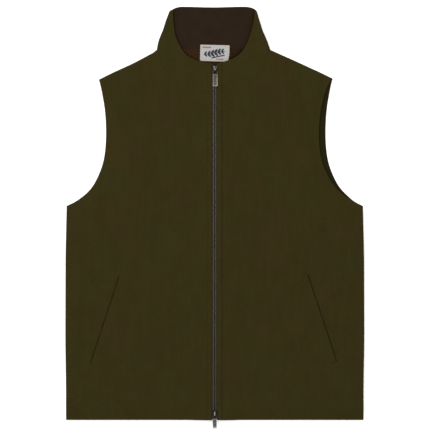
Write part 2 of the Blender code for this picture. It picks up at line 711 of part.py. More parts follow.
def slider(place, material):
    """Two plates with bent-down rims, a post between them and a bail on top."""
    middle = SLIDER_MIDDLES[place]
    post_side = 1 if place == "top" else -1
    slot_low, slot_high = SLIDER_SLOT
    rim = SLIDER_THROAT_HALF
    half = SLIDER_LENGTH / 2

    def plate_rings(outer, inner, slot):
        section = [  # side, height, offset across
            (-1, outer, 0),
            (1, outer, 0),
            (1, slot, 0),
            (0, slot, rim),
            (0, inner, rim),
            (0, inner, -rim),
            (0, slot, -rim),
            (-1, slot, 0),
        ]
        rings = []
        for share, width in SLIDER_OUTLINE:
            y = middle - post_side * share * half
            ring = [(x + side * SLIDER_HALF * width, y, z) for side, z, x in section]
            rings.append(ring)
        return rings

    top_rings = plate_rings(SLIDER_HIGH, SLIDER_HIGH - SLIDER_PLATE, slot_high)
    top = loft(f"zip_slider_{place}", top_rings, material)
    under_rings = plate_rings(SLIDER_LOW, SLIDER_LOW + SLIDER_UNDER_PLATE, slot_low)
    bottom = loft(f"slider_under_{place}", under_rings, material)
    post_plan = (
        (-POST_HALF, POST_INNER),
        (POST_HALF, POST_INNER),
        (POST_HALF, POST_OUTER),
        (-POST_HALF, POST_OUTER),
    )
    post_rings = []
    for z in (SLIDER_LOW + PLATE_OVERLAP, SLIDER_HIGH - PLATE_OVERLAP):
        post_rings.append([(x, middle + post_side * y, z) for x, y in post_plan])
    post = loft(f"slider_post_{place}", post_rings, material)
    start, end = BAIL_ENDS
    foot = SLIDER_HIGH - PLATE_OVERLAP
    arch = [
        (start, foot),
        (start, BAIL_HIGH - BAIL_BEVEL),
        (start + BAIL_BEVEL, BAIL_HIGH),
        (end - BAIL_BEVEL, BAIL_HIGH),
        (end, BAIL_HIGH - BAIL_BEVEL),
        (end, foot),
        (end - BAIL_BAR, foot),
        (end - BAIL_BAR, BAIL_LOW),
        (start + BAIL_BAR, BAIL_LOW),
        (start + BAIL_BAR, foot),
    ]
    bail_rings = [[(x, middle + y, z) for y, z in arch] for x in (-BAIL_HALF, BAIL_HALF)]
    bail = loft(f"slider_bail_{place}", bail_rings, material)
    return join(top, (bottom, post, bail), "UNION")


def plate_outline(half, near, far, corner):
    """A rounded rectangle in plan, from y = near out to y = far, for a pull tab."""
    return [
        (-half + corner, near),
        (half - corner, near),
        (half, near - corner),
        (half, far + corner),
        (half - corner, far),
        (-half + corner, far),
        (-half, far + corner),
        (-half, near - corner),
    ]


def extruded(name, outline, low, high, material):
    rings = [[(x, y, z) for x, y in outline] for z in (low, high)]
    return loft(name, rings, material, local=True)


def pull(place, material):
    """A tab with a raised border, arms round the bail and a round pin across them."""
    half, length, tilt = PULLS[place]
    border, end_border = PULL_BORDER
    wall_half, neck_half = PULL_WALL / 2, PULL_NECK_WALL / 2
    plan = plate_outline(half, -PULL_NECK, -length, PULL_CORNER)
    tab = extruded(f"zip_pull_{place}", plan, -wall_half, wall_half, material)
    arms = []
    for side, name in ((-1, "right"), (1, "left")):
        inner, outer = side * PULL_NECK_INNER, side * PULL_NECK_HALF
        end = -PULL_NECK - ARM_OVERLAP
        plan = [(inner, 0.0), (outer, 0.0), (outer, end), (inner, end)]
        arms.append(extruded(f"pull_arm_{place}_{name}", plan, -neck_half, neck_half, material))
    turns = (np.arange(PIN_SIDES) + 0.5) * 2 * math.pi / PIN_SIDES
    ring = [(PIN_RADIUS * math.cos(t), PIN_RADIUS * math.sin(t)) for t in turns]
    pin_rings = [[(x, y, z) for y, z in ring] for x in (-PULL_NECK_HALF, PULL_NECK_HALF)]
    pin = loft(f"pull_pin_{place}", pin_rings, material, local=True)
    join(tab, (*arms, pin), "UNION")
    near, far = -PULL_NECK - end_border, -length + border
    recess = plate_outline(half - border, near, far, RECESS_CORNER)
    floor, above = wall_half - PULL_RECESS, wall_half + CUT_CLEARANCE
    cutters = [
        extruded(f"pull_recess_{place}_up", recess, floor, above, material),
        extruded(f"pull_recess_{place}_down", recess, -above, -floor, material),
    ]
    join(tab, cutters, "DIFFERENCE")
    y = SLIDER_MIDDLES[place] + PIN_BACK - MIDDLE_Y
    for piece in (tab, *arms, pin, *cutters):
        piece.location = (0.0, y * MM, PIN_HEIGHT * MM)
        piece.rotation_euler = (math.radians(tilt), 0.0, 0.0)
    return tab


def main():
    clear_scene()
    finish = {name: make_material(name) for name in COLOURS}
    cloth = finish["outer_cloth"]
    wall("back_panel", back_face(True), back_face(False), cloth)
    wall("back_lining", lining_face(True), lining_face(False), finish["sherpa"])
    for side in ("left", "right"):
        mirror = side == "right"
        wall(f"front_{side}", front_face(side, True), front_face(side, False), cloth, mirror)
        welt(side, cloth)
        tape(side, finish["zip_tape"])
    collar_layer("collar", cloth)
    collar_layer("collar_lining", finish["collar_fleece"])
    label(finish["label_weave"])
    chain(finish["gunmetal"])
    for place in ("top", "bottom"):
        slider(place, finish["gunmetal"])
        pull(place, finish["pull_metal"])


main()
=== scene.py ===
import math

import bmesh
import bpy
import numpy as np
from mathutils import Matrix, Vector
from mathutils.kdtree import KDTree


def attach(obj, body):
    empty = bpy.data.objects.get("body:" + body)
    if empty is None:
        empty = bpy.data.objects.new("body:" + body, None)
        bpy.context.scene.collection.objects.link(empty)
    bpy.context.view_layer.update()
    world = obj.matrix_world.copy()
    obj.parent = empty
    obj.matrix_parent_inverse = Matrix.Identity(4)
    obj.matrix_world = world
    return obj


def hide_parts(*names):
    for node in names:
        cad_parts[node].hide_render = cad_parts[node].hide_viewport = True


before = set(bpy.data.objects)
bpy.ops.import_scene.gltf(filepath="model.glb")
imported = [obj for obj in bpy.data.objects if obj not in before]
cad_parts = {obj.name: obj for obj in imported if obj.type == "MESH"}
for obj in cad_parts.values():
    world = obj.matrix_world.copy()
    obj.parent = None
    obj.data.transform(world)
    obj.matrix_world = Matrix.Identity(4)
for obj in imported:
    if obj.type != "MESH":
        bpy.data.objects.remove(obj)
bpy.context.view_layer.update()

print("frame loaded")

# Sizes are in millimetres, x out from the centre front and y up from the hem.
mm = 0.001
middleY = 378.9971  # world y is this much less than y from the hem
gap = 0.05  # the seams are drawn shut, so their two edges nearly touch
softEdge = 0.9
neckEdge = 0.12

laidCut = {  # how the gilet lies: small shifts from its even cut, each faded in from a start over a distance
    "collarLean": -3.9,
    "leanSpans": {"up": (648, 24), "out": (2, 16), "right": (104, 14), "left": (70, 25), "leftUp": (675, 50)},
    "collarCorner": 1.0,  # the top of the fold at the viewer's left
    "cornerSpans": {"up": (745, 22), "out": (55, 20)},
    "collarTurn": 3.0,  # the front edge there, turned further in than the fold
    "turnSpans": {"up": (722, 28), "out": (50, 20), "end": (-84, 5)},
    "hem": -1.4,
    "hemSpan": 60,
    "armholes": {"left": 2.6, "right": 1.1},
    "armholeSpans": {"up": (402, 24), "out": (90, 70), "end": (690, 20)},
    "sides": {"left": 1.8, "right": -1.6},
    "sideSpans": {"up": (40, 130), "end": (290, 120), "out": (150, 100)},
    "shoulders": {"left": 1.8, "right": -1.1},
    "shoulderSpans": {"left": (125, 90), "right": (155, 45), "up": (560, 70)},
}

bodyCut = {
    "hemHalfWidth": 280.0,
    "underarm": (278.8, 401.0),
    "shoulderTip": (219.1, 639.0),
    "neckCorner": (105.7, 694.5),
    "armhole": (
        (278.8, 401.0),
        (257.9, 412.3),
        (233.5, 434.9),
        (217.5, 464.9),
        (209.0, 495.0),
        (205.9, 534.0),
        (207.6, 577.0),
        (213.7, 615.3),
        (219.1, 639.0),
    ),
    "frontEdge": 5.6,
    "neckFrontY": 613.0,
    "neckBackY": 697.5,
    "neckBackDip": 4.2,
    "reveal": {"left": 12.6, "right": 0.8},  # a front's armhole, cut inside the back's
    "revealForm": (0.12, 1.15, 0.7),  # where along the armhole it starts, its lean and its fullness
    "seamRoll": 6.0,
    "seamWall": 2.2,
    "underarmRows": (  # y at the middle, share of the armhole
        (401.0, 0.0),
        (406.0, 0.02),
        (415.0, 0.07),
        (432.0, 0.13),
        (462.0, 0.22),
        (498.0, 0.32),
        (536.0, 0.42),
        (575.0, 0.52),
        (613.0, 0.61),
    ),
    "neckDepths": (110.0, 101.0, 87.0, 68.0, 51.0, 36.0),
    "shoulderDepths": (19.0, 16.0, 13.0, 10.0, 8.0),  # rows that run along the shoulder seam
    "squareDepth": 22.0,  # from here up the rows lie square to the seam
    "seamFade": 0.12,  # share of the armhole in which the side seam's roll ends
    "cellY": 4.0,
}

fronts = {
    "top": 9.8,
    "wall": 4.4,
    "edgeTop": 5.8,
    "edgeWall": 3.2,
    "sinkReach": 24.0,
    "zipRise": 1.2,
    "zipWall": 2.5,
    "zipRiseInner": 20.0,
    "zipRiseOuter": 55.0,
    "zipColumns": 15,
    "columns": 56,
    "waves": ((0.26, 85.0), (0.07, 22.0)),  # height and size of the laid cloth's slow and quick waves
    "pucker": (0.10, 8.5, 4.5),  # beside the sewn line: height, length, half width
    "sewnLine": 13.8,  # from the middle of the zip
    "seeds": {"left": 3, "right": 8},
    "levelBy": 22.0,  # the cloth is level this near to the neck seam
    "folds": {  # x, y, half length, half width, height, lean in degrees
        "left": (
            (198.0, 372.0, 70.0, 46.0, 1.9, 28.0),
            (158.0, 470.0, 105.0, 42.0, 1.2, -8.0),
            (118.0, 150.0, 115.0, 50.0, 1.0, 6.0),
        ),
        "right": (
            (214.0, 350.0, 80.0, 40.0, 1.8, 16.0),
            (160.0, 500.0, 95.0, 44.0, 1.3, 4.0),
            (112.0, 180.0, 120.0, 52.0, 1.0, -5.0),
        ),
    },
    "troughs": {  # points along the crease, half width, depth
        "left": (
            (((226.0, 330.0), (218.0, 372.0), (224.0, 420.0)), 9.0, 0.7),
            (((262.0, 392.0), (240.0, 376.0), (214.0, 366.0)), 8.0, 0.5),
            (((66.0, 250.0), (62.0, 340.0), (70.0, 420.0)), 11.0, 0.35),
        ),
        "right": (
            (((212.0, 352.0), (205.0, 402.0), (203.0, 462.0)), 10.0, 0.9),
            (((258.0, 388.0), (236.0, 370.0), (220.0, 346.0)), 8.0, 0.5),
            (((92.0, 520.0), (84.0, 560.0), (90.0, 600.0)), 10.0, 0.35),
        ),
    },
}

backCut = {
    "wall": 2.2,
    "columns": (26, 24),  # to the neck corner, and from there to the shoulder's tip
    "tipMargin": 8.0,
    "armholeShading": (15.0, 3.0),  # how far the painted shade on the turned-in cloth shows round the armhole, and how soft it ends
}

collarCut = {
    "foldFoot": (100.7, 693.3),
    "foldTop": (78.5, 763.0),
    "frontTopY": 670.0,
    "backTopY": 775.0,
    "cornerStart": 57.0,
    "cornerEnd": 83.2,
    "cornerRise": 1.2,
    "cornerPower": 2.4,
    "frontCornerY": 769.5,
    "foldFlare": 1.7,  # the fold line bends out a little above the shoulder
    "foldMiddle": 4.9,
    "walls": {"collar": (4.9, 2.2, 1.2), "collar_lining": (2.4, 2.0, 0.9)},
    "liningFrontEdge": 16.6,
    "liningDrop": 2.2,
    "edge": 0.6,
    "liningNap": (0.12, 34.0),  # height and size of the unevenness
    "clothNap": (0.16, 46.0),
    "edgeBows": ((30.0, 76.0, 2.5), (4.0, 34.0, -1.3)),  # from, to in degrees round the neck, how far out
    "edgeShade": {"left": 5.0, "right": 3.0},  # how far the painted shade under the front edge reaches
    "backColumns": 44,
    "frontColumns": 44,
    "rows": 26,
}


def smoothStep(value):
    value = np.clip(value, 0.0, 1.0)
    return value * value * (3 - 2 * value)


def fade(value, start, over):
    # none up to the start, and one from a given distance past it
    return smoothStep((value - start) / over)


def smoothPath(points, steps=24):
    points = np.array(points, float)
    padded = np.vstack([2 * points[0] - points[1], points, 2 * points[-1] - points[-2]])
    found = []
    for i in range(len(points) - 1):
        a, b, c, d = padded[i : i + 4]
        for t in np.linspace(0, 1, steps, endpoint=False):
            bend = (a - 2.5 * b + 2 * c - d / 2) * t**2 + (1.5 * (b - c) + (d - a) / 2) * t**3
            found.append(b + (c - a) * t / 2 + bend)
    return np.array(found + [points[-1]])


def normalsOf(path):
    ahead = np.gradient(path, axis=0)
    normals = np.stack([ahead[:, 1], -ahead[:, 0]], axis=1)
    return normals / np.linalg.norm(normals, axis=1)[:, None]


def along(path, fraction):
    lengths = np.linalg.norm(np.diff(path, axis=0), axis=1)
    reached = np.concatenate([[0], np.cumsum(lengths)]) / lengths.sum()
    return np.array([np.interp(fraction, reached, path[:, k]) for k in (0, 1)])


def shoulderDistance(points):
    points = np.asarray(points, float)
    seam = np.subtract(bodyCut["shoulderTip"], bodyCut["neckCorner"])
    inward = np.array([seam[1], -seam[0]]) / np.linalg.norm(seam)
    return (points - bodyCut["neckCorner"]) @ inward


def atShoulderDistance(path, distance):
    depths = np.maximum.accumulate(shoulderDistance(path)[::-1])
    return np.array([np.interp(distance, depths, path[::-1, k]) for k in (0, 1)])


def armholePath(side=None):
    path = smoothPath(bodyCut["armhole"])
    if side is None:
        return path
    start, lean, fullness = bodyCut["revealForm"]
    share = np.clip((np.linspace(0, 1, len(path)) - start) / (1 - start), 0, 1)
    reveal = bodyCut["reveal"][side] * np.sin(math.pi * share**lean) ** fullness
    return path - normalsOf(path) * reveal[:, None]


def nearestOn(path, x, y):
    # how far each point is from a path, and how far along the path it is
    points = np.stack([np.ravel(x), np.ravel(y)], axis=1)
    gaps = np.linalg.norm(points[:, None, :] - path[None, :, :], axis=2)
    found = gaps.argmin(axis=1)
    return gaps.min(axis=1).reshape(np.shape(x)), (found / (len(path) - 1)).reshape(np.shape(x))


def waves(x, y, size, seed, count=11):
    # an even, repeatable unevenness between about -1 and 1
    chance = np.random.default_rng(seed)
    total = np.zeros(np.shape(x))
    for turn, phase, stretch in chance.uniform((0, 0, 0.7), (math.pi, 2 * math.pi, 1.5), (count, 3)):
        across = x * math.cos(turn) + y * math.sin(turn)
        total = total + np.sin(across * 2 * math.pi / (size * stretch) + phase)
    return total / math.sqrt(count)


def nearZip(x):
    reach = fronts["zipRiseOuter"] - fronts["zipRiseInner"]
    return 1 - smoothStep((np.abs(x) - fronts["zipRiseInner"]) / reach)


def foldHeight(side, x, y):
    height = np.zeros(np.shape(x))
    for foldX, foldY, halfLength, halfWidth, rise, lean in fronts["folds"].get(side, ()):
        turn = math.radians(lean)
        across = (x - foldX) * math.cos(turn) - (y - foldY) * math.sin(turn)
        down = (x - foldX) * math.sin(turn) + (y - foldY) * math.cos(turn)
        height += (
            rise
            * np.cos(math.pi / 2 * np.clip(across / halfWidth, -1, 1)) ** 2
            * np.cos(math.pi / 2 * np.clip(down / halfLength, -1, 1)) ** 2
        )
    return height


def clothRelief(side, x, y):
    # creases as soft uneven troughs, waves, and small puckers at the sewn line by the zip
    seed = fronts["seeds"][side]
    (slow, slowSize), (quick, quickSize) = fronts["waves"]
    height = slow * waves(x, y, slowSize, seed) + quick * waves(x, y, quickSize, seed + 1)
    for points, halfWidth, depth in fronts["troughs"][side]:
        away, share = nearestOn(smoothPath(points), x, y)
        uneven = 0.8 + 0.2 * waves(x, y, 30.0, seed + 2)
        height = height - depth * np.sin(math.pi * share) * uneven * np.exp(-((away / halfWidth) ** 2))
    pucker, length, halfWidth = fronts["pucker"]
    line = np.exp(-(((x - fronts["sewnLine"]) / halfWidth) ** 2))
    ripple = np.sin(2 * math.pi * y / length + waves(x, y, 60.0, seed + 4) * 2)
    height = height + pucker * ripple * line * (0.6 + 0.4 * waves(x, y, 50.0, seed + 5))
    away, _ = nearestOn(neckPath(), x, y)
    return height * smoothStep(away / fronts["levelBy"])  # level where the collar is sewn on


def laid(points):
    # moves points by the small lean, bulges and shifts of the gilet as it lies
    x, y, z = np.array(points, float).T
    span = laidCut["leanSpans"]
    moveX = laidCut["collarLean"] * fade(y, *span["up"]) * fade(np.abs(x), *span["out"])
    moveX = moveX * (1 - fade(-x, *span["right"]))
    moveX = moveX * (1 - fade(x, *span["left"]) * (1 - fade(y, *span["leftUp"])))
    span = laidCut["cornerSpans"]
    moveX = moveX + laidCut["collarCorner"] * fade(y, *span["up"]) * fade(-x, *span["out"])
    span = laidCut["turnSpans"]
    turned = fade(y, *span["up"]) * fade(-x, *span["out"]) * fade(x, *span["end"])
    moveX = moveX + laidCut["collarTurn"] * turned
    moveY = laidCut["hem"] * (1 - smoothStep(y / laidCut["hemSpan"]))
    for side, out in (("left", x), ("right", -x)):
        span = laidCut["armholeSpans"]
        upper = fade(y, *span["up"]) * fade(out, *span["out"])
        moveX = moveX + laidCut["armholes"][side] * upper * (1 - fade(y, *span["end"]))
        span = laidCut["sideSpans"]
        long = fade(y, *span["up"]) * (1 - fade(y, *span["end"]))
        moveX = moveX + laidCut["sides"][side] * long * fade(out, *span["out"])
        place, over = laidCut["shoulderSpans"][side]
        reach = (out - place) / over if side == "left" else 1 - np.abs(out - place) / over
        lifted = laidCut["shoulders"][side] * smoothStep(reach)
        moveY = moveY + lifted * fade(y, *laidCut["shoulderSpans"]["up"])
    return np.stack([x + moveX, y + moveY, z], axis=1)


def frontHeights(x, y, side=None):
    besideZip = nearZip(x)
    away, _ = nearestOn(armholePath(side), x, y)
    armholeSink = 1 - smoothStep(away / fronts["sinkReach"])
    hemSink = (1 - smoothStep(y / fronts["sinkReach"])) * (1 - besideZip)
    sink = 1 - (1 - armholeSink) * (1 - hemSink)
    top = fronts["top"] + fronts["zipRise"] * besideZip - (fronts["top"] - fronts["edgeTop"]) * sink
    wall = fronts["wall"] + (fronts["zipWall"] - fronts["wall"]) * besideZip
    wall = wall + (fronts["edgeWall"] - fronts["wall"]) * sink
    top = top + foldHeight(side, x, y) * (1 - sink) * (1 - besideZip)
    return top, top - wall, sink


def seamHeight(x, y):
    return frontHeights(x, y)[0] / 2


rollTurns = np.radians(np.linspace(90, 0, 7))
hemTurns = np.radians(np.linspace(0, 90, 5))


def rollDistances(inset):
    return inset + (bodyCut["seamRoll"] - inset) * (1 - np.cos(rollTurns))


def neckEllipse(turns, shrink=0.0):
    foot, edge = collarCut["foldFoot"], bodyCut["frontEdge"]
    reach = foot[0] + gap - edge - shrink
    drop = foot[1] - gap - bodyCut["neckFrontY"]
    return np.stack([edge + reach * np.cos(turns), foot[1] - gap + shrink - drop * np.sin(turns)], axis=1)


def neckPath():
    return np.vstack([neckEllipse(np.radians(np.linspace(90, 0, 181))), bodyCut["neckCorner"]])


def collarFrontEdge(turns):
    # the collar's top edge in front, from the fold to the zip
    halfX = collarCut["foldTop"][0] - bodyCut["frontEdge"]
    halfY = collarCut["foldTop"][1] - collarCut["frontTopY"]
    out = np.zeros(np.shape(turns))
    for start, end, bow in collarCut["edgeBows"]:
        share = np.clip((np.degrees(turns) - start) / (end - start), 0, 1)
        out = out + bow * np.sin(math.pi * share) ** 2
    normals = np.stack([halfY * np.cos(turns), -halfX * np.sin(turns)], axis=-1)
    normals = normals / np.linalg.norm(normals, axis=-1)[..., None]
    x = bodyCut["frontEdge"] + halfX * np.cos(turns)
    y = collarCut["foldTop"][1] - halfY * np.sin(turns)
    y = y + (collarCut["frontCornerY"] - collarCut["foldTop"][1]) * (1 - smoothStep(np.sin(turns) / 0.2))
    return np.stack([x, y], axis=-1) + normals * out[..., None]


def underCollar(points):
    # the painted shadow that lies along the collar's front edge, wider at the viewer's right
    x, y = points[..., 0], points[..., 1]
    away, _ = nearestOn(collarFrontEdge(np.radians(np.linspace(0, 90, 181))), np.abs(x), y)
    reach = np.where(x > 0, collarCut["edgeShade"]["left"], collarCut["edgeShade"]["right"])
    return np.clip(1 - away / reach, 0, 1)


def frontRows(side, inset):
    # the two ends of each row, then how far hem, side seam and shoulder seam round it
    armhole, neck = armholePath(side), neckPath()
    edge, cell = bodyCut["frontEdge"], bodyCut["cellY"]
    underarmX, underarmY = bodyCut["underarm"]
    rows = []

    def add(inner, outer, hem=1.0, seam=1.0, shoulder=1.0):
        rows.append((np.array(inner), np.array(outer), hem, seam, shoulder))

    def sideX(y):
        return bodyCut["hemHalfWidth"] + (underarmX - bodyCut["hemHalfWidth"]) * y / underarmY

    for turn in hemTurns:
        y = softEdge * (1 - math.cos(turn))
        add((edge, y), (sideX(y), y), hem=math.sin(turn))
    for y in np.arange(cell, underarmY, cell):
        add((edge, y), (sideX(y), y))
    tableY, tableShare = np.array(bodyCut["underarmRows"]).T
    for y in np.linspace(underarmY, tableY[-1], int((tableY[-1] - underarmY) / cell) + 1):
        share = np.interp(y, tableY, tableShare)
        add((edge, y), along(armhole, share), seam=float(1 - smoothStep(share / bodyCut["seamFade"])))
    square = bodyCut["squareDepth"]
    near = atShoulderDistance(armhole, square)
    shares = np.linspace(0, 1, 2001)
    last = shares[np.argmin([np.linalg.norm(along(armhole, s) - near) for s in shares])]
    first = tableShare[-1]
    depthTable = [float(shoulderDistance((edge, tableY[-1]))), *bodyCut["neckDepths"], square]
    shareTable = first + (last - first) * np.arange(len(depthTable)) / (len(depthTable) - 1)
    for depth in np.linspace(depthTable[0], square, 30)[1:]:
        share = np.interp(-depth, -np.array(depthTable), shareTable)
        add(atShoulderDistance(neck, depth), along(armhole, share), seam=0.0)
    for depth in bodyCut["shoulderDepths"]:
        add(atShoulderDistance(neck, depth), atShoulderDistance(armhole, depth), seam=0.0)
    for turn, depth in zip(rollTurns, rollDistances(inset)):
        ends = atShoulderDistance(neck, depth), atShoulderDistance(armhole, depth)
        add(*ends, seam=0.0, shoulder=math.sin(turn))
    return rows


def frontFace(side, upper):
    inset = 0.0 if upper else bodyCut["seamWall"]
    startTurns = np.radians(np.linspace(0, 90, 5))
    grid = []
    for inner, outer, hem, seam, shoulder in frontRows(side, inset):
        length = np.linalg.norm(outer - inner)
        roll = rollDistances(inset) * seam + softEdge * (1 - np.cos(rollTurns)) * (1 - seam)
        onNeck = inner[1] > bodyCut["neckFrontY"]
        startEdge = neckEdge if onNeck else softEdge
        start = startEdge * (1 - np.cos(startTurns))
        end = length - roll
        zipEnd = fronts["zipRiseInner"]
        besideZip = np.linspace(start[-1], zipEnd, fronts["zipColumns"] + 1)[1:]
        middle = np.concatenate([besideZip, np.linspace(zipEnd, end[0], fronts["columns"] + 2)[1:-1]])
        reach = np.concatenate([start, middle, end])
        edge = np.concatenate([np.sin(startTurns), np.ones(len(middle) + len(end))])
        edgeSoft = np.where(reach < middle[0], startEdge, softEdge)
        rolled = np.concatenate([np.ones(len(start) + len(middle)), np.sin(rollTurns)])
        x, y = (inner + (outer - inner) * (reach / length)[:, None]).T
        top, bottom, sink = frontHeights(x, y, side)
        if upper:
            top = top + clothRelief(side, x, y) * (1 - sink) * hem * shoulder * edge
        face, turned = (top, -1) if upper else (bottom, 1)
        z = face + turned * (edgeSoft * (1 - edge) + softEdge * (1 - hem))
        level = seamHeight(x, y) + gap / 2
        zOpen = z + turned * softEdge * (1 - rolled)
        zSeam = level + (z - level) * rolled
        z = zOpen * (1 - seam) + zSeam * seam
        z = level + (z - level) * shoulder
        grid.append(np.stack([x, y, z], axis=1))
    return np.array(grid)


def backNeckY(x):
    return bodyCut["neckBackY"] - bodyCut["neckBackDip"] * (np.abs(x) / collarCut["foldFoot"][0]) ** 2


def backTop(x):
    foot = (collarCut["foldFoot"][0] + gap, collarCut["foldFoot"][1] - gap)
    inner = np.linspace(0, foot[0], 40)
    xs = np.concatenate([inner, [bodyCut["neckCorner"][0], bodyCut["shoulderTip"][0]]])
    ys = np.concatenate([backNeckY(inner) - gap, [bodyCut["neckCorner"][1], bodyCut["shoulderTip"][1]]])
    return np.interp(x, xs, ys)


def backFace(upper):
    inset = bodyCut["seamWall"] if upper else 0.0
    tipX, tipY = bodyCut["shoulderTip"]
    cornerX = bodyCut["neckCorner"][0]
    footX = collarCut["foldFoot"][0] + gap
    margin = backCut["tipMargin"]
    last = tipX - margin
    toNeck, toTip = backCut["columns"]
    fixed = np.concatenate([np.linspace(0, footX, toNeck), np.linspace(cornerX, last, toTip)]) / last
    onShoulder = np.concatenate([np.arange(len(fixed)) >= toNeck, np.ones(len(rollTurns), bool)])
    rise = bodyCut["neckBackY"] - gap - tipY
    underarmY = bodyCut["underarm"][1]
    fullDepth = float(shoulderDistance(bodyCut["underarm"]))
    grid = []
    for _, outer, hem, seam, topRoll in frontRows(None, inset):
        outerX, outerY = outer
        middleRow = outerY
        if outerY > underarmY:
            depth = max(float(shoulderDistance(outer)), 0.0)
            middleRow = underarmY + (bodyCut["neckBackY"] - gap - underarmY) * (1 - depth / fullDepth)
        roll = rollDistances(inset) * seam + softEdge * (1 - np.cos(rollTurns)) * (1 - seam)
        x = np.concatenate([fixed * (outerX - margin), outerX - roll])
        y = outerY + (middleRow - outerY) * (backTop(x / outerX * tipX) - tipY) / rise
        rolled = np.concatenate([np.ones(len(fixed)), np.sin(rollTurns)])
        face, turned = (backCut["wall"], -1) if upper else (0.0, 1)
        edge = softEdge if upper else softEdge / 2
        z = face + turned * edge * (1 - hem)
        level = seamHeight(x, y) - gap / 2
        zOpen = z + turned * edge * (1 - rolled)
        zSeam = level + (z - level) * rolled
        z = zOpen * (1 - seam) + zSeam * seam
        zTop = level + (z - level) * topRoll
        z = np.where(onShoulder, zTop, z + turned * edge * (1 - topRoll))
        grid.append(np.stack([x, y, z], axis=1))
    return mirrored(np.array(grid))


def mirrored(half):
    other = half[:, :0:-1] * np.array([-1.0, 1.0, 1.0])
    return np.concatenate([other, half], axis=1)


def masked(piece, name, values):
    # keeps one number for each point, for the material to read
    mask = piece.data.attributes.new(name, "FLOAT", "POINT")
    mask.data.foreach_set("value", np.array(values, np.float32).ravel())


def placed(name, data):
    made = bpy.data.objects.new(name, data)
    bpy.context.scene.collection.objects.link(made)
    return made


def solid(name, points, faces, flipX=False, soft=True):
    points = np.array(points, float)
    if flipX:
        points = points * np.array([-1.0, 1.0, 1.0])
    if soft:
        points = laid(points)
    points = points - np.array([0.0, middleY, 0.0])
    mesh = bpy.data.meshes.new(name)
    mesh.from_pydata((points * mm).tolist(), [], faces)
    turned = bmesh.new()
    turned.from_mesh(mesh)
    bmesh.ops.recalc_face_normals(turned, faces=turned.faces)
    if turned.calc_volume(signed=True) < 0:
        bmesh.ops.reverse_faces(turned, faces=turned.faces)
    turned.to_mesh(mesh)
    turned.free()
    mesh.shade_smooth()
    mesh.set_sharp_from_angle(angle=math.radians(50))
    return placed(name, mesh)


def wallBetween(name, upper, lower, flipX=False, soft=True):
    # a closed wall between two grids of points with the same rows and columns
    rows, columns = upper.shape[:2]
    half = rows * columns
    row, column = np.meshgrid(np.arange(rows - 1), np.arange(columns - 1), indexing="ij")
    a = (row * columns + column).ravel()
    b = a + columns
    faces = np.stack([a, a + 1, b + 1, b], axis=1).tolist()
    faces += np.stack([half + a, half + b, half + b + 1, half + a + 1], axis=1).tolist()
    rim = list(range(columns))
    rim += [r * columns + columns - 1 for r in range(1, rows)]
    rim += [(rows - 1) * columns + c for c in range(columns - 2, -1, -1)]
    rim += [r * columns for r in range(rows - 2, 0, -1)]
    faces += [(p, k, half + k, half + p) for k, p in zip(rim, rim[1:] + rim[:1])]
    return solid(name, np.concatenate([upper.reshape(-1, 3), lower.reshape(-1, 3)]), faces, flipX, soft=soft)


# Materials

def newMaterial(name, roughness, specular, metallic=0.0, sheen=(0.0, 1, 1, 1)):
    # sheen is its strength and then its tint
    material = bpy.data.materials.new(name)
    material.use_nodes = True
    tree = material.node_tree
    shader = tree.nodes["Principled BSDF"]
    shader.inputs["Roughness"].default_value = roughness
    shader.inputs["Specular IOR Level"].default_value = specular
    shader.inputs["Metallic"].default_value = metallic
    shader.inputs["Sheen Weight"].default_value = sheen[0]
    shader.inputs["Sheen Roughness"].default_value = 0.5
    shader.inputs["Sheen Tint"].default_value = (*sheen[1:], 1)
    place = tree.nodes.new("ShaderNodeTexCoord")
    return material, tree, shader, place.outputs["Object"]


def paint(tree, shader, colour, normal):
    tree.links.new(colour, shader.inputs["Base Color"])
    tree.links.new(normal, shader.inputs["Normal"])


def noiseNode(tree, place, size, detail=3.0, rough=0.6, stretch=(1, 1, 1), twist=0.0):
    # size is the width of the noise's spots, in millimetres
    mapping = tree.nodes.new("ShaderNodeMapping")
    mapping.inputs["Scale"].default_value = stretch
    tree.links.new(place, mapping.inputs["Vector"])
    made = tree.nodes.new("ShaderNodeTexNoise")
    made.inputs["Scale"].default_value = 1 / (size * mm)
    made.inputs["Detail"].default_value = detail
    made.inputs["Roughness"].default_value = rough
    made.inputs["Distortion"].default_value = twist
    tree.links.new(mapping.outputs["Vector"], made.inputs["Vector"])
    return made.outputs["Fac"]


def rangeNode(tree, value, low, high, toLow=0.0, toHigh=1.0):
    made = tree.nodes.new("ShaderNodeMapRange")
    made.interpolation_type = "SMOOTHSTEP"
    for name, number in (("From Min", low), ("From Max", high), ("To Min", toLow), ("To Max", toHigh)):
        made.inputs[name].default_value = number
    tree.links.new(value, made.inputs["Value"])
    return made.outputs["Result"]


def mathNode(tree, operation, a, b=None):
    made = tree.nodes.new("ShaderNodeMath")
    made.operation = operation
    for socket, value in zip(made.inputs, (a, b)):
        if value is None:
            continue
        if isinstance(value, (int, float)):
            socket.default_value = value
        else:
            tree.links.new(value, socket)
    return made.outputs["Value"]


def mixNode(tree, share, a, b, how="MIX"):
    made = tree.nodes.new("ShaderNodeMix")
    made.data_type = "RGBA"
    made.blend_type = how
    for socket, value in zip((made.inputs[0], made.inputs[6], made.inputs[7]), (share, a, b)):
        if isinstance(value, (int, float)):
            socket.default_value = value
        elif isinstance(value, tuple):
            socket.default_value = (*value, 1)
        else:
            tree.links.new(value, socket)
    return made.outputs[2]


def bumpNode(tree, height, strength, distance, before=None):
    made = tree.nodes.new("ShaderNodeBump")
    made.inputs["Strength"].default_value = strength
    made.inputs["Distance"].default_value = distance * mm
    tree.links.new(height, made.inputs["Height"])
    if before is not None:
        tree.links.new(before, made.inputs["Normal"])
    return made.outputs["Normal"]


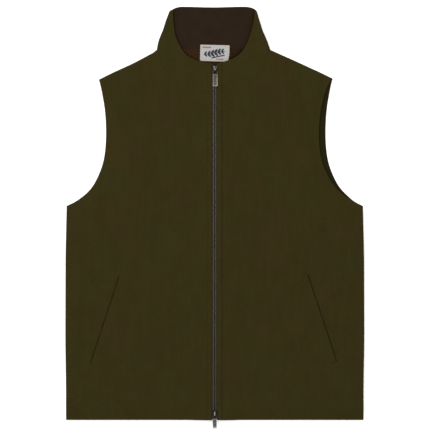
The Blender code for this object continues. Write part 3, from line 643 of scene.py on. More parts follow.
def sumNode(tree, a, shareA, b, shareB):
    return mathNode(tree, "ADD", mathNode(tree, "MULTIPLY", a, shareA), mathNode(tree, "MULTIPLY", b, shareB))


def splitNode(tree, place):
    split = tree.nodes.new("ShaderNodeSeparateXYZ")
    tree.links.new(place, split.inputs["Vector"])
    return split.outputs


def shaded(tree, colour, share, factor):
    # darkens a colour where the share is one, by one factor or by one for each of red, green and blue
    tint = factor if isinstance(factor, tuple) else (factor,) * 3
    return mixNode(tree, share, colour, mixNode(tree, 1.0, colour, tint, "MULTIPLY"))


def maskNode(tree, name):
    mask = tree.nodes.new("ShaderNodeAttribute")
    mask.attribute_name = name
    return mask.outputs["Fac"]


def bandNode(tree, value, middle, half):
    # one at the middle and none beyond half the width
    away = mathNode(tree, "ABSOLUTE", mathNode(tree, "SUBTRACT", value, middle * mm))
    return rangeNode(tree, away, 0.0, half * mm, 1.0, 0.0)


def weaveNode(tree, place, pitch, ratio):
    # threads that cross, the second ones closer together by the ratio
    axes = splitNode(tree, place)
    turns = 2 * math.pi / (pitch * mm)
    warp = mathNode(tree, "SINE", mathNode(tree, "MULTIPLY", axes["X"], turns))
    weft = mathNode(tree, "SINE", mathNode(tree, "MULTIPLY", axes["Y"], turns * ratio))
    return mathNode(tree, "MULTIPLY", warp, weft)


outerCloth = {
    "dark": (0.0216, 0.0169, 0.0037),
    "light": (0.0336, 0.0270, 0.0067),
    "brown": (0.0315, 0.0210, 0.0058),
    "green": (0.0250, 0.0240, 0.0056),
    "fleck": (0.052, 0.044, 0.015),
    "sheen": (0.02, 0.6, 0.56, 0.3),
    "roughness": 0.96,
    "felt": 1.3,  # sizes of the felted surface, the nap and its blotches
    "nap": 0.9,
    "streaks": 7.0,
    "blotch": 30.0,
    "tone": 75.0,
    "sewnHalf": 2.4,
    "sewnFrom": (5.5, 6.5),  # heights between which the sewn line's painted shade sets in, above the back
    "sewnShade": (0.03, 0.24),  # how much darker the painted shade makes the sunk line, at the viewer's left and right
    "paintedShade": 0.08,  # painted shade in a pocket's opening
    "armholeShade": 0.54,  # painted shade on the turned-in cloth round an armhole
}


def brushedCloth(name, look, paintedShade=None, sewn=False):
    material, tree, shader, place = newMaterial(name, look["roughness"], 0.04, sheen=look["sheen"])
    felted = noiseNode(tree, place, look["felt"], 5.0, 0.7)
    blotch = noiseNode(tree, place, look["blotch"], 3.0, 0.5)
    tone = noiseNode(tree, place, look["tone"], 3.0, 0.5)
    fibres = noiseNode(tree, place, look["nap"], 4.0, 0.75, stretch=(1.0, 0.35, 1.0), twist=0.6)
    streaks = noiseNode(tree, place, look["streaks"], 3.0, 0.5, stretch=(1.0, 0.12, 1.0))
    colour = mixNode(tree, rangeNode(tree, felted, 0.3, 0.7), look["dark"], look["light"])
    colour = mixNode(tree, rangeNode(tree, tone, 0.48, 0.66, 0.0, 0.48), colour, look["brown"])
    colour = mixNode(tree, rangeNode(tree, tone, 0.34, 0.50, 0.45, 0.0), colour, look["green"])
    soft = sumNode(tree, blotch, 0.5, streaks, 0.5)
    colour = shaded(tree, colour, rangeNode(tree, soft, 0.35, 0.65), 0.90)
    colour = mixNode(tree, rangeNode(tree, fibres, 0.66, 0.78, 0.0, 0.35), colour, look["fleck"])
    normal = bumpNode(tree, felted, 0.35, 0.25)
    normal = bumpNode(tree, fibres, 0.4, 0.18, normal)
    if sewn:
        # painted shade along the sunk sewn lines beside the zip, stronger at the viewer's right
        axes = splitNode(tree, place)
        low, high = look["sewnFrom"]
        onFront = rangeNode(tree, axes["Z"], low * mm, high * mm)
        for sign, shade in zip((-1, 1), look["sewnShade"]):
            line = bandNode(tree, axes["X"], sign * fronts["sewnLine"], look["sewnHalf"])
            colour = shaded(tree, colour, mathNode(tree, "MULTIPLY", line, onFront), 1 - shade)
    # painted shade where the given mask is one: the pocket's opening, the strip round an armhole
    if paintedShade:
        colour = shaded(tree, colour, maskNode(tree, paintedShade), look[paintedShade])
    paint(tree, shader, colour, normal)
    return material


sherpaLook = {
    "deep": (0.0085, 0.0036, 0.0014),
    "tip": (0.047, 0.0215, 0.0082),
    "sheen": (0.04, 0.8, 0.55, 0.38),
    "roughness": 0.96,
    "curl": 3.1,
    "strand": 0.7,
    "turned": (5.0, 35.0, 0.72),  # painted shade: from one x to the other the pile is drawn darker, towards the viewer's right
    "shade": (0.35, 0.42, 0.28),  # painted shadow along the collar's front edge
}


def sherpaPile(look):
    material, tree, shader, place = newMaterial("sherpa_pile", look["roughness"], 0.04, sheen=look["sheen"])
    curls = noiseNode(tree, place, look["curl"], 4.0, 0.65, twist=1.8)
    strands = noiseNode(tree, place, look["strand"], 4.0, 0.7, twist=2.5)
    both = sumNode(tree, curls, 0.7, strands, 0.3)
    colour = mixNode(tree, rangeNode(tree, both, 0.33, 0.66), look["deep"], look["tip"])
    # painted shade, darker towards the viewer's right
    start, end, darker = look["turned"]
    colour = shaded(tree, colour, rangeNode(tree, splitNode(tree, place)["X"], start * mm, end * mm), darker)
    # painted shadow under the collar's front edge
    colour = shaded(tree, colour, maskNode(tree, "shade"), look["shade"])
    normal = bumpNode(tree, curls, 0.8, 1.4)
    paint(tree, shader, colour, bumpNode(tree, strands, 0.6, 0.4, normal))
    return material


fleeceLook = {
    "dark": (0.0150, 0.0088, 0.0051),
    "light": (0.0225, 0.0138, 0.0086),
    "sheen": (0.02, 0.7, 0.5, 0.4),
    "roughness": 0.96,
    "nap": 1.1,
    "patch": 18.0,
    "shade": (0.78, 0.68, 0.10),  # painted shadow along the collar's edge
}


def collarFleece(look):
    made = newMaterial("collar_fleece_nap", look["roughness"], 0.04, sheen=look["sheen"])
    material, tree, shader, place = made
    nap = noiseNode(tree, place, look["nap"], 5.0, 0.7, twist=0.8)
    patch = noiseNode(tree, place, look["patch"], 3.0)
    both = sumNode(tree, nap, 0.65, patch, 0.35)
    colour = mixNode(tree, rangeNode(tree, both, 0.32, 0.68), look["dark"], look["light"])
    colour = shaded(tree, colour, maskNode(tree, "shade"), look["shade"])
    paint(tree, shader, colour, bumpNode(tree, nap, 0.45, 0.35))
    return material


tapeLook = {"dark": (0.017, 0.0145, 0.0065), "light": (0.046, 0.040, 0.022), "rib": 0.62}


def wovenTape(look):
    material, tree, shader, place = newMaterial("zip_tape_weave", 0.85, 0.2)
    ribs = weaveNode(tree, place, look["rib"], 0.8)
    height = mathNode(tree, "ADD", ribs, noiseNode(tree, place, 2.0, 3.0))
    colour = mixNode(tree, rangeNode(tree, height, -0.6, 1.5), look["dark"], look["light"])
    paint(tree, shader, colour, bumpNode(tree, height, 0.5, 0.15))
    return material


metalLook = {
    "teeth": {
        "dark": (0.024, 0.021, 0.015),
        "light": (0.060, 0.054, 0.040),
        "bare": (0.225, 0.205, 0.16),
        "roughness": 0.45,
    },
    "slider": {
        "dark": (0.014, 0.012, 0.010),
        "light": (0.042, 0.037, 0.031),
        "bare": (0.40, 0.37, 0.33),
        "roughness": 0.36,
    },
    "topPull": {
        "dark": (0.050, 0.046, 0.039),
        "light": (0.092, 0.083, 0.071),
        "bare": (0.32, 0.30, 0.26),
        "roughness": 0.38,
    },
    # the same metal as the top pull, made lighter as painted light, for the light its more tilted tab
    # reflects less
    "bottomPull": {
        "dark": (0.078, 0.075, 0.070),
        "light": (0.142, 0.136, 0.127),
        "bare": (0.43, 0.42, 0.40),
        "roughness": 0.38,
    },
}


def platedMetal(name, look):
    # dark plated metal, rubbed bare and lit with painted highlight where the mask is one, and blackened with
    # painted shade where it is below none
    material, tree, shader, place = newMaterial(name, look["roughness"], 0.5, metallic=1.0)
    patches = noiseNode(tree, place, 2.4, 4.0, 0.65)
    brushed = noiseNode(tree, place, 0.25, 2.0, 0.5, stretch=(1.0, 0.06, 1.0))
    colour = mixNode(tree, rangeNode(tree, patches, 0.35, 0.68), look["dark"], look["light"])
    wearAndLight = maskNode(tree, "wearAndLight")
    rubbed = mathNode(tree, "MULTIPLY", wearAndLight, rangeNode(tree, patches, 0.25, 0.5, 0.65, 1.0))
    colour = mixNode(tree, rubbed, colour, look["bare"])
    # painted shade where the mask is below none
    colour = shaded(tree, colour, rangeNode(tree, mathNode(tree, "MULTIPLY", wearAndLight, -1.0), 0.0, 1.0), 0.12)
    rough = rangeNode(tree, patches, 0.3, 0.7, look["roughness"] + 0.14, look["roughness"] - 0.08)
    tree.links.new(rough, shader.inputs["Roughness"])
    paint(tree, shader, colour, bumpNode(tree, brushed, 0.18, 0.05))
    return material


labelLook = {
    "ground": (0.425, 0.415, 0.39),
    "shadow": (0.30, 0.29, 0.27),
    "navy": (0.005, 0.011, 0.022),
    "red": (0.24, 0.036, 0.060),
    "thread": 0.42,
}


def labelWeave(look):
    material, tree, shader, place = newMaterial("label_weave_satin", 0.6, 0.3, sheen=(0.05, 1, 1, 1))
    threads = weaveNode(tree, place, look["thread"], 1.3)
    wearAndLight = noiseNode(tree, place, 5.0, 3.0)
    colour = mixNode(tree, rangeNode(tree, threads, -1.0, 1.0), look["shadow"], look["ground"])
    colour = mixNode(tree, rangeNode(tree, wearAndLight, 0.35, 0.7, 0.0, 0.35), colour, look["shadow"])
    for name in ("navy", "red"):
        colour = mixNode(tree, maskNode(tree, name), colour, look[name])
    paint(tree, shader, colour, bumpNode(tree, threads, 0.4, 0.08))
    return material


clothMaterial = brushedCloth("olive_brushed_cloth", outerCloth, sewn=True)
backMaterial = brushedCloth("olive_back_cloth", outerCloth, paintedShade="armholeShade")
weltMaterial = brushedCloth("olive_welt_cloth", outerCloth, paintedShade="paintedShade")
sherpaMaterial = sherpaPile(sherpaLook)
fleeceMaterial = collarFleece(fleeceLook)
tapeMaterial = wovenTape(tapeLook)
labelMaterial = labelWeave(labelLook)
metals = {name: platedMetal(f"{name}_plating_and_painted_light", look) for name, look in metalLook.items()}
print("materials made")


def dress(piece, material, slot, *nodes, body="garment"):
    piece.data.materials.clear()
    piece.data.materials.append(material)
    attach(piece, body)
    if nodes:
        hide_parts(*nodes)
    return piece


# Back and fronts

backGrids = backFace(True), backFace(False)
backPanel = dress(wallBetween("backPanel", *backGrids), backMaterial, "outer_cloth", "back_panel")
# painted shade on the back's turned-in cloth round the armhole, beside the front's edge
fromArmhole, _ = nearestOn(armholePath(), np.abs(backGrids[0][..., 0]), backGrids[0][..., 1])
armholeShading = 1 - fade(fromArmhole, *backCut["armholeShading"])
masked(backPanel, "armholeShade", [armholeShading, np.zeros(armholeShading.shape)])

for side in ("left", "right"):
    faces = frontFace(side, True), frontFace(side, False)
    made = wallBetween(f"front_{side}_cloth", *faces, flipX=side == "right")
    dress(made, clothMaterial, "outer_cloth", f"front_{side}")
print("back and fronts made")


# Sherpa lining of the back, its pile raised where the neck shows it

liningCut = {
    "side": 9.0,
    "hem": 27.0,
    "armhole": 36.0,
    "shoulder": 10.0,
    "underarmY": 362.0,
    "low": 2.5,
    "high": 5.0,
    "curlRadius": 2.7,
    "curlHeight": 1.7,
    "curlSpacing": 3.0,
    "shownFrom": 640.0,
    "shownHalfWidth": 92.0,
    "fineWidth": (80.0, 66),  # half width and columns of the finer mesh in the middle
    "curlMiddle": 0.42,  # share of a curl's height that lies at the pile's own level
    "underLabel": ((30.0, 2.5), (672.0, 2.0)),  # half width and foot of the pressed-down patch, and its fades
}


def curlHeights(x, y):
    # rounded curls round scattered points, each of its own height
    chance = np.random.default_rng(21)
    step = liningCut["curlSpacing"]
    centres = [
        (cx + chance.uniform(-1.1, 1.1), cy + chance.uniform(-1.1, 1.1), chance.uniform(0.55, 1.0))
        for cx in np.arange(-liningCut["shownHalfWidth"], liningCut["shownHalfWidth"], step)
        for cy in np.arange(liningCut["shownFrom"], 706.0, step)
    ]
    tree = KDTree(len(centres))
    for i, (cx, cy, _) in enumerate(centres):
        tree.insert((cx, cy, 0), i)
    tree.balance()
    radius = liningCut["curlRadius"]
    height = np.zeros(np.shape(x))
    for place in np.ndindex(*np.shape(x)):
        px, py = float(x[place]), float(y[place])
        if py < liningCut["shownFrom"] or abs(px) > liningCut["shownHalfWidth"]:
            continue
        for _, i, away in tree.find_n((px, py, 0), 3):
            dome = centres[i][2] * math.sqrt(max(0.0, 1 - (away / radius) ** 2))
            height[place] = max(height[place], dome)
    return height


def liningOutline():
    armhole = armholePath()
    inner = armhole - normalsOf(armhole) * liningCut["armhole"]
    sideX = bodyCut["hemHalfWidth"] - liningCut["side"]
    inner = inner[(inner[:, 1] > liningCut["underarmY"]) & (inner[:, 0] < sideX - 6)]
    inner = inner[np.maximum.accumulate(inner[:, 1]) <= inner[:, 1]]
    inner = inner[shoulderDistance(inner) > liningCut["shoulder"]]
    return np.vstack([[(sideX, liningCut["hem"]), (sideX, liningCut["underarmY"])], inner])


def liningFace(upper):
    outline = liningOutline()
    topX, topY = outline[-1]
    underarmY = bodyCut["underarm"][1]
    tip, corner = bodyCut["shoulderTip"], bodyCut["neckCorner"]
    slope = (tip[1] - corner[1]) / (tip[0] - corner[0])

    def topEdge(x):
        seam = corner[1] + slope * (x - corner[0])
        return np.minimum(backNeckY(x) - 2 * gap, seam - liningCut["shoulder"] / math.cos(math.atan(slope)))

    low, high = liningCut["hem"], topY
    plain, fine = np.linspace(low + 12, 560, 40), np.linspace(563, high - 1.6, 50)
    ys = np.concatenate([[low, low + 0.5, low + 1.6], plain, fine, [high - 0.5, high]])
    half, columns = liningCut["fineWidth"]
    inner = np.linspace(0, half, columns)
    grid = []
    for i, ySide in enumerate(ys):
        outerX = np.interp(ySide, outline[:, 1], outline[:, 0])
        x = np.concatenate([inner, np.linspace(half + 2, outerX - 1.6, 16), [outerX - 0.5, outerX]])
        lift = smoothStep((ySide - underarmY) / (topY - underarmY))
        y = ySide + (topEdge(x / outerX * topX) - topY) * lift
        rounding = np.zeros(len(x))
        rounding[-2:] = (0.3, softEdge)
        if i in (1, len(ys) - 2):
            rounding = np.maximum(rounding, 0.3)
        if i in (0, len(ys) - 1):
            rounding[:] = softEdge
        z = np.full(len(x), liningCut["low"])
        if upper:
            z = liningCut["high"] - rounding
        grid.append(np.stack([x, y, z], axis=1))
    grid = mirrored(np.array(grid))
    if upper:
        x, y = grid[..., 0], grid[..., 1]
        shown = smoothStep((liningCut["shownHalfWidth"] - np.abs(x)) / 8) * fade(y, liningCut["shownFrom"], 8)
        curls = curlHeights(x, y)
        (wide, soft), foot = liningCut["underLabel"]
        underLabel = smoothStep((wide - np.abs(x)) / soft) * fade(y, *foot)
        height = liningCut["curlHeight"] * (curls - liningCut["curlMiddle"]) * (1 - underLabel)
        grid[..., 2] += np.where(grid[..., 2] > liningCut["high"] - 0.1, height * shown, 0)
    return grid


liningFaces = [liningFace(upper) for upper in (True, False)]
backLining = wallBetween("backLining", *liningFaces)
masked(backLining, "shade", [underCollar(face) for face in liningFaces])
dress(backLining, sherpaMaterial, "sherpa", "back_lining")
print("sherpa lining made")


# Collar and its lining

def collarBackTopY(x):
    start, end = collarCut["cornerStart"], collarCut["cornerEnd"]
    turn = np.clip((x - start) / (end - start), 0, 1)
    high = collarCut["backTopY"] + collarCut["cornerRise"] * smoothStep(x / start)
    rounded = (1 - turn ** collarCut["cornerPower"]) ** (1 / collarCut["cornerPower"])
    return collarCut["foldTop"][1] + (high - collarCut["foldTop"][1]) * rounded


def foldTopY(turn, size):
    # the top of the side fold, round from the back's corner down and up to the front's
    foldX, foldY = collarCut["foldTop"]
    if turn < 0:
        return float(collarBackTopY(foldX + 0.95 * size * math.cos(turn)))
    return foldY + (collarCut["frontCornerY"] - foldY) * float(smoothStep(turn / (math.pi / 2)))


def collarFaces(kind):
    radius, layerWall, zipRise = collarCut["walls"][kind]
    lining = kind == "collar_lining"
    foot, top = np.array(collarCut["foldFoot"]), np.array(collarCut["foldTop"])
    up = (top - foot) / np.linalg.norm(top - foot)
    out = np.array([up[1], -up[0]])
    bends = np.radians(np.linspace(0, 90, 4))
    ends = 0.014 * (1 - np.cos(bends))
    between = np.linspace(ends[-1], 1 - ends[-1], collarCut["rows"])[1:-1]
    shares = np.concatenate([ends, between, 1 - ends[::-1]])
    rounding = np.zeros(len(shares))
    rounding[: len(bends)] = neckEdge * (1 - np.sin(bends))
    rounding[-len(bends) :] = collarCut["edge"] * (1 - np.sin(bends[::-1]))
    flare = collarCut["foldFlare"] * np.sin(math.pi * np.clip(shares / 0.5, 0, 1))
    lowered = collarCut["liningDrop"] if lining else 0.0
    drop = (lowered * shares)[:, None] * -up
    edge = collarCut["liningFrontEdge"] if lining else bodyCut["frontEdge"]
    reach = foot[0] + gap - bodyCut["frontEdge"]
    beyond = edge - bodyCut["frontEdge"]
    last, *closing = (math.acos((beyond + left) / reach) for left in (2.0, 0.9, 0.35, 0.1, 0.0))
    turns = np.append(np.linspace(0.03, last, collarCut["frontColumns"]), closing)
    closed = np.zeros(len(turns) + 1)
    closed[-4:] = np.array([0.0, 0.12, 0.34, 0.6])
    faces = []
    for outer in (True, False):
        size = radius if outer else radius - layerWall
        inward = rounding * (1 if outer else -1)
        columns = []
        for x in np.linspace(0, 97, collarCut["backColumns"]):
            xTop = x * top[0] / foot[0]
            low = np.array([x, float(backNeckY(x))])
            high = np.array([xTop, float(collarBackTopY(xTop))])
            place = low + (high - low) * shares[:, None] + drop
            z = collarCut["foldMiddle"] - size + inward
            if not outer:
                nap, napSize = collarCut["liningNap"]
                z = z + nap * waves(place[:, 0], place[:, 1], napSize, 31) * np.sin(math.pi * shares)
            columns.append(np.column_stack([place, z]))
        for turn in np.radians(np.linspace(-75, 75, 17)):
            high = np.array([top[0], foldTopY(turn, radius)])
            place = foot + (high - foot) * shares[:, None] + drop
            bent = size - inward
            place = place + out * (bent * math.cos(turn) + flare * math.cos(turn) ** 2)[:, None]
            columns.append(np.column_stack([place, collarCut["foldMiddle"] + bent * math.sin(turn)]))
        corner = np.array([top[0], collarCut["frontCornerY"]])
        front = [(foot, corner)] + list(zip(neckEllipse(turns, gap), collarFrontEdge(turns)))
        for i, (low, high) in enumerate(front):
            place = low + (high - low) * shares[:, None] + drop
            if lining:
                place[:, 0] = np.maximum(place[:, 0], edge + (len(front) - 1 - i) * 0.02)
            beside = nearZip(place[:, 0])
            z = collarCut["foldMiddle"] + size + zipRise * beside - inward
            if not outer and not lining:
                z = z - (fronts["zipWall"] - layerWall) * beside
            z = z + (-closed[i] if outer else closed[i])
            if outer and not lining:
                nap, napSize = collarCut["clothNap"]
                nap = nap * waves(place[:, 0], place[:, 1], napSize, 12)
                z = z + nap * np.sin(math.pi * shares) * (1 - closed[i])
            columns.append(np.column_stack([place, z]))
        faces.append(np.array(columns))
    return faces


def collarLayer(name, kind):
    both = []
    for face in collarFaces(kind):
        other = face[:0:-1] * np.array([-1.0, 1.0, 1.0])
        both.append(np.concatenate([other, face]))
    made = wallBetween(name, *both)
    masked(made, "shade", [underCollar(face) for face in both])
    return made


collarCloth = collarLayer("collarCloth", "collar")
dress(collarCloth, clothMaterial, "outer_cloth", "collar")
collarInside = collarLayer("collarInside", "collar_lining")
dress(collarInside, fleeceMaterial, "collar_fleece", "collar_lining")
print("collar made")


# Pocket welts

weltCut = {
    "ends": {"left": ((174.4, 274.0), (228.7, 108.3)), "right": ((179.4, 270.6), (233.8, 103.0))},
    "section": (  # across from the opening, thickness
        (0.0, 0.3),
        (0.25, 0.7),
        (0.6, 1.05),
        (1.0, 1.25),
        (1.5, 1.35),
        (3.0, 1.3),
        (7.0, 1.0),
        (12.0, 0.6),
        (17.0, 0.3),
        (22.0, 0.05),
    ),
    "openingHalf": 1.6,
    "stations": 80,
    "lift": 0.12,
}


def pocketWelt(side):
    top, foot = np.array(weltCut["ends"][side])
    down = (foot - top) / np.linalg.norm(foot - top)
    inward = np.array([down[1], -down[0]])
    across, walls = np.array(weltCut["section"]).T
    shares = np.linspace(0, 1, weltCut["stations"])
    lower, upper, opening = [], [], []
    for share in shares:
        ends = float(smoothStep(min(share, 1 - share) / 0.013))
        x, y = (top + (foot - top) * share + inward * across[:, None]).T
        front, _, sink = frontHeights(x, y, side)
        base = front + clothRelief(side, x, y) * (1 - sink) + weltCut["lift"]
        lower.append(np.stack([x, y, base], axis=1))
        upper.append(np.stack([x, y, base + 0.05 + (walls - 0.05) * ends], axis=1))
        # painted shade in the pocket's opening, a little uneven along it
        wearAndLight = 0.85 + 0.15 * math.sin(share * 37)
        opening.append(smoothStep((weltCut["openingHalf"] - across) / 0.7) * ends * wearAndLight)
    made = wallBetween(f"pocket_welt_{side}_cloth", np.array(upper), np.array(lower), flipX=side == "right")
    masked(made, "paintedShade", [opening, opening])
    return made


for side in ("left", "right"):
    made = dress(pocketWelt(side), weltMaterial, "outer_cloth", f"pocket_welt_{side}")
print("pocket welts made")


# Neck label, with a woven sprig of leaves between two rows of lozenges

labelCut = {
    "half": 27.5,
    "low": 674.0,
    "high": 704.7,
    "wall": 0.5,
    "corner": 3.2,
    "cell": 0.4,
    "liningTop": 4.5,
    "tilt": -1.4,  # degrees
    "down": 0.9,
    "leaves": 6,
    "leafSize": (5.0, 2.1),
    "lozenges": (  # how many, first x, y from the middle, half height; 2.7 apart and 1.5 in half width
        (6, -22.0, 10.6, 1.9),
        (5, 4.2, -11.2, 1.7),
    ),
}


def lozenge(x, y, centreX, centreY, halfX, halfY):
    away = np.abs(x - centreX) / halfX + np.abs(y - centreY) / halfY
    return np.clip((1.15 - away) / 0.3, 0, 1)


def band(x, y, middle, half, start, end):
    # a line of changing width that fades out at both ends
    ends = smoothStep((x - start) / 2.0) * smoothStep((end - x) / 2.0)
    return np.clip((half * ends - np.abs(y - middle)) / 0.3 + 0.5, 0, 1) * (ends > 0)


def leaf(x, y, centreX, centreY, lean, size):
    along = (x - centreX) * math.cos(lean) + (y - centreY) * math.sin(lean)
    across = (y - centreY) * math.cos(lean) - (x - centreX) * math.sin(lean)
    length, half = size
    width = half * np.clip(1 - (along / length) ** 2, 0, 1)
    return np.clip((width - np.abs(across)) / 0.3 + 0.5, 0, 1) * (np.abs(along) < length)


def ornament(x, y):
    centre = (labelCut["low"] + labelCut["high"]) / 2

    def stem(at):
        return centre + 0.6 + at * 0.13 + 1.1 * np.sin(at / 7.0)

    navy = band(x, y, stem(x), 0.6, -21.5, 20.5)
    for i in range(labelCut["leaves"]):
        at = -18.5 + i * 38.0 / labelCut["leaves"]
        grow = 0.75 + 0.35 * math.sin(math.pi * (i + 0.5) / labelCut["leaves"])
        size = tuple(grow * s for s in labelCut["leafSize"])
        for sign in (-1, 1):
            lean = math.radians(7 + sign * 48)
            middle = (at + 2.4 * grow * math.cos(lean), float(stem(at)) + 3.4 * grow * math.sin(lean))
            navy = np.maximum(navy, leaf(x, y, *middle, lean, size))
    navy = np.maximum(navy, band(x, y, stem(x) - 8.6 + 0.006 * (x - 4) ** 2, 1.15, -7.0, 19.5))
    red = np.zeros(np.shape(x))
    for count, first, up, half in labelCut["lozenges"]:
        for i in range(count):
            red = np.maximum(red, lozenge(x, y, first + i * 2.7, centre + up, 1.5, half))
    return navy, red


def labelPlace(points):
    # the label sits a little lower and turned, as it was sewn
    tilt = math.radians(labelCut["tilt"])
    centre = (labelCut["low"] + labelCut["high"]) / 2
    x, y, z = np.moveaxis(np.array(points, float), -1, 0)
    turnedX = x * math.cos(tilt) - (y - centre) * math.sin(tilt)
    turnedY = x * math.sin(tilt) + (y - centre) * math.cos(tilt)
    return np.stack([turnedX, turnedY + centre - labelCut["down"], z], axis=-1)


def neckLabel():
    low, high, half, cell = (labelCut[name] for name in ("low", "high", "half", "cell"))
    ys = np.linspace(low, high, int((high - low) / cell))
    share = np.linspace(-1, 1, int(2 * half / cell))
    upper, lower = [], []
    for y in ys:
        corner = max(0.0, low + labelCut["corner"] - y)
        pulled = labelCut["corner"] - math.sqrt(max(0.0, labelCut["corner"] ** 2 - corner**2))
        x = share * (half - pulled)
        step = float(smoothStep((y - bodyCut["neckBackY"] - 1.0) / 2.0))
        base = liningCut["high"] + (labelCut["liningTop"] - liningCut["high"]) * step + gap
        base = base + 0.18 * (1 + waves(x, np.full(len(x), y), 16.0, 5)) * np.sin(math.pi * (share + 1) / 2)
        edge = np.clip((half - np.abs(x)) / 0.8, 0, 1)
        rows = np.full(len(x), y)
        lower.append(np.stack([x, rows, base], axis=1))
        upper.append(np.stack([x, rows, base + labelCut["wall"] * (0.6 + 0.4 * np.sqrt(edge))], axis=1))
    upper, lower = np.array(upper), np.array(lower)
    made = wallBetween("neckLabel", labelPlace(upper), labelPlace(lower), soft=False)
    for name, values in zip(("navy", "red"), ornament(upper[..., 0], upper[..., 1])):
        masked(made, name, [values, np.zeros(values.shape)])
    return made


label = dress(neckLabel(), labelMaterial, "label_weave", "neck_label")
print("label made")


# Geometry Nodes: one piece repeated along a line

def repeatTree():
    tree = bpy.data.node_groups.new("repeatAlongLine", "GeometryNodeTree")
    sockets = {}
    for label, kind in (
        ("Line", "NodeSocketGeometry"),
        ("Piece", "NodeSocketObject"),
        ("Pitch", "NodeSocketFloat"),
        ("Turn of every other", "NodeSocketFloat"),
        ("Unevenness", "NodeSocketFloat"),
        ("Seed", "NodeSocketInt"),
        ("Material", "NodeSocketMaterial"),
    ):
        sockets[label] = tree.interface.new_socket(label, in_out="INPUT", socket_type=kind).identifier
    tree.interface.new_socket("Geometry", in_out="OUTPUT", socket_type="NodeSocketGeometry")
    made = {
        name: tree.nodes.new(kind)
        for name, kind in (
            ("given", "NodeGroupInput"),
            ("result", "NodeGroupOutput"),
            ("curve", "GeometryNodeMeshToCurve"),
            ("points", "GeometryNodeCurveToPoints"),
            ("piece", "GeometryNodeObjectInfo"),
            ("index", "GeometryNodeInputIndex"),
            ("other", "ShaderNodeMath"),
            ("turn", "ShaderNodeMath"),
            ("least", "ShaderNodeMath"),
            ("chance", "FunctionNodeRandomValue"),
            ("total", "ShaderNodeMath"),
            ("euler", "ShaderNodeCombineXYZ"),
            ("local", "FunctionNodeEulerToRotation"),
            ("align", "FunctionNodeAlignRotationToVector"),
            ("rotate", "FunctionNodeRotateRotation"),
            ("place", "GeometryNodeInstanceOnPoints"),
            ("real", "GeometryNodeRealizeInstances"),
            ("finish", "GeometryNodeSetMaterial"),
        )
    }
    operations = {"other": "MODULO", "turn": "MULTIPLY", "least": "MULTIPLY", "total": "ADD"}
    for name, operation in operations.items():
        made[name].operation = operation
    made["other"].inputs[1].default_value = 2.0
    made["least"].inputs[1].default_value = -1.0
    made["points"].mode = "LENGTH"
    made["chance"].data_type = "FLOAT"
    made["align"].axis = "Y"
    made["rotate"].rotation_space = "LOCAL"
    for start, output, end, socket in (
        ("given", "Line", "curve", "Mesh"),
        ("curve", "Curve", "points", "Curve"),
        ("given", "Pitch", "points", "Length"),
        ("given", "Piece", "piece", "Object"),
        ("index", "Index", "other", 0),
        ("other", "Value", "turn", 0),
        ("given", "Turn of every other", "turn", 1),
        ("given", "Unevenness", "least", 0),
        ("least", "Value", "chance", "Min"),
        ("given", "Unevenness", "chance", "Max"),
        ("given", "Seed", "chance", "Seed"),
        ("turn", "Value", "total", 0),
        ("chance", "Value", "total", 1),
        ("total", "Value", "euler", "Z"),
        ("euler", "Vector", "local", "Euler"),
        ("points", "Tangent", "align", "Vector"),
        ("align", "Rotation", "rotate", "Rotation"),
        ("local", "Rotation", "rotate", "Rotate By"),
        ("points", "Points", "place", "Points"),
        ("piece", "Geometry", "place", "Instance"),
        ("rotate", "Rotation", "place", "Rotation"),
        ("place", "Instances", "real", "Geometry"),
        ("real", "Geometry", "finish", "Geometry"),
        ("given", "Material", "finish", "Material"),
        ("finish", "Geometry", "result", "Geometry"),
    ):
        tree.links.new(made[start].outputs[output], made[end].inputs[socket])
    return tree, sockets


repeatAlong, repeatSockets = repeatTree()


def circle(count):
    return [(math.cos(turn), math.sin(turn)) for turn in np.linspace(0, 2 * math.pi, count, endpoint=False)]


def joinRings(mesh, rings):
    # side faces between rings of points, and a cap at both ends
    count = len(rings[0])
    for a, b in zip(rings, rings[1:]):
        for k in range(count):
            mesh.faces.new([a[k], a[(k + 1) % count], b[(k + 1) % count], b[k]])
    mesh.faces.new(rings[0][::-1])
    mesh.faces.new(rings[-1])


def plainMesh(mesh, name):
    # turns the faces outwards and keeps them as the mesh of that name
    bmesh.ops.recalc_face_normals(mesh, faces=mesh.faces)
    plain = bpy.data.meshes.new(name)
    mesh.to_mesh(plain)
    mesh.free()
    return plain


def repeated(name, lines, piece, pitch, material, turn=0.0, unevenness=0.0, seed=1):
    points, edges = [], []
    for line in lines:
        start = len(points)
        points += ((np.array(line, float) - np.array([0.0, middleY, 0.0])) * mm).tolist()
        edges += [(start + i, start + i + 1) for i in range(len(line) - 1)]
    mesh = bpy.data.meshes.new(name + "Line")
    mesh.from_pydata(points, edges, [])
    carrier = placed(name + "Line", mesh)
    modifier = carrier.modifiers.new("repeat", "NODES")
    modifier.node_group = repeatAlong
    for label, value in (
        ("Piece", piece),
        ("Pitch", pitch * mm),
        ("Turn of every other", turn),
        ("Unevenness", unevenness),
        ("Seed", seed),
        ("Material", material),
    ):
        modifier[repeatSockets[label]] = value
    carrier.update_tag()
    graph = bpy.context.evaluated_depsgraph_get()
    plain = bpy.data.meshes.new_from_object(carrier.evaluated_get(graph))
    plain.name = name
    made = placed(name, plain)
    bpy.data.objects.remove(carrier)
    return made


# Zip teeth

teethLook = {
    "pitch": 1.15,  # teeth stand on the two tapes in turn
    "legInner": 0.95,
    "legOuter": 2.75,
    "legHalf": 0.60,
    "legHeight": 1.2,
    "headInner": -1.05,
    "headHalf": 0.46,
    "headHeight": 0.72,
    "bevel": 0.16,
    "brightFrom": (1.3, 0.9),  # the leg's top is rubbed bare and lit with painted highlight from this x and height on
    "ends": (8.0, 659.6),
    "place": (-0.4, 7.9),  # x and height of their middle
}


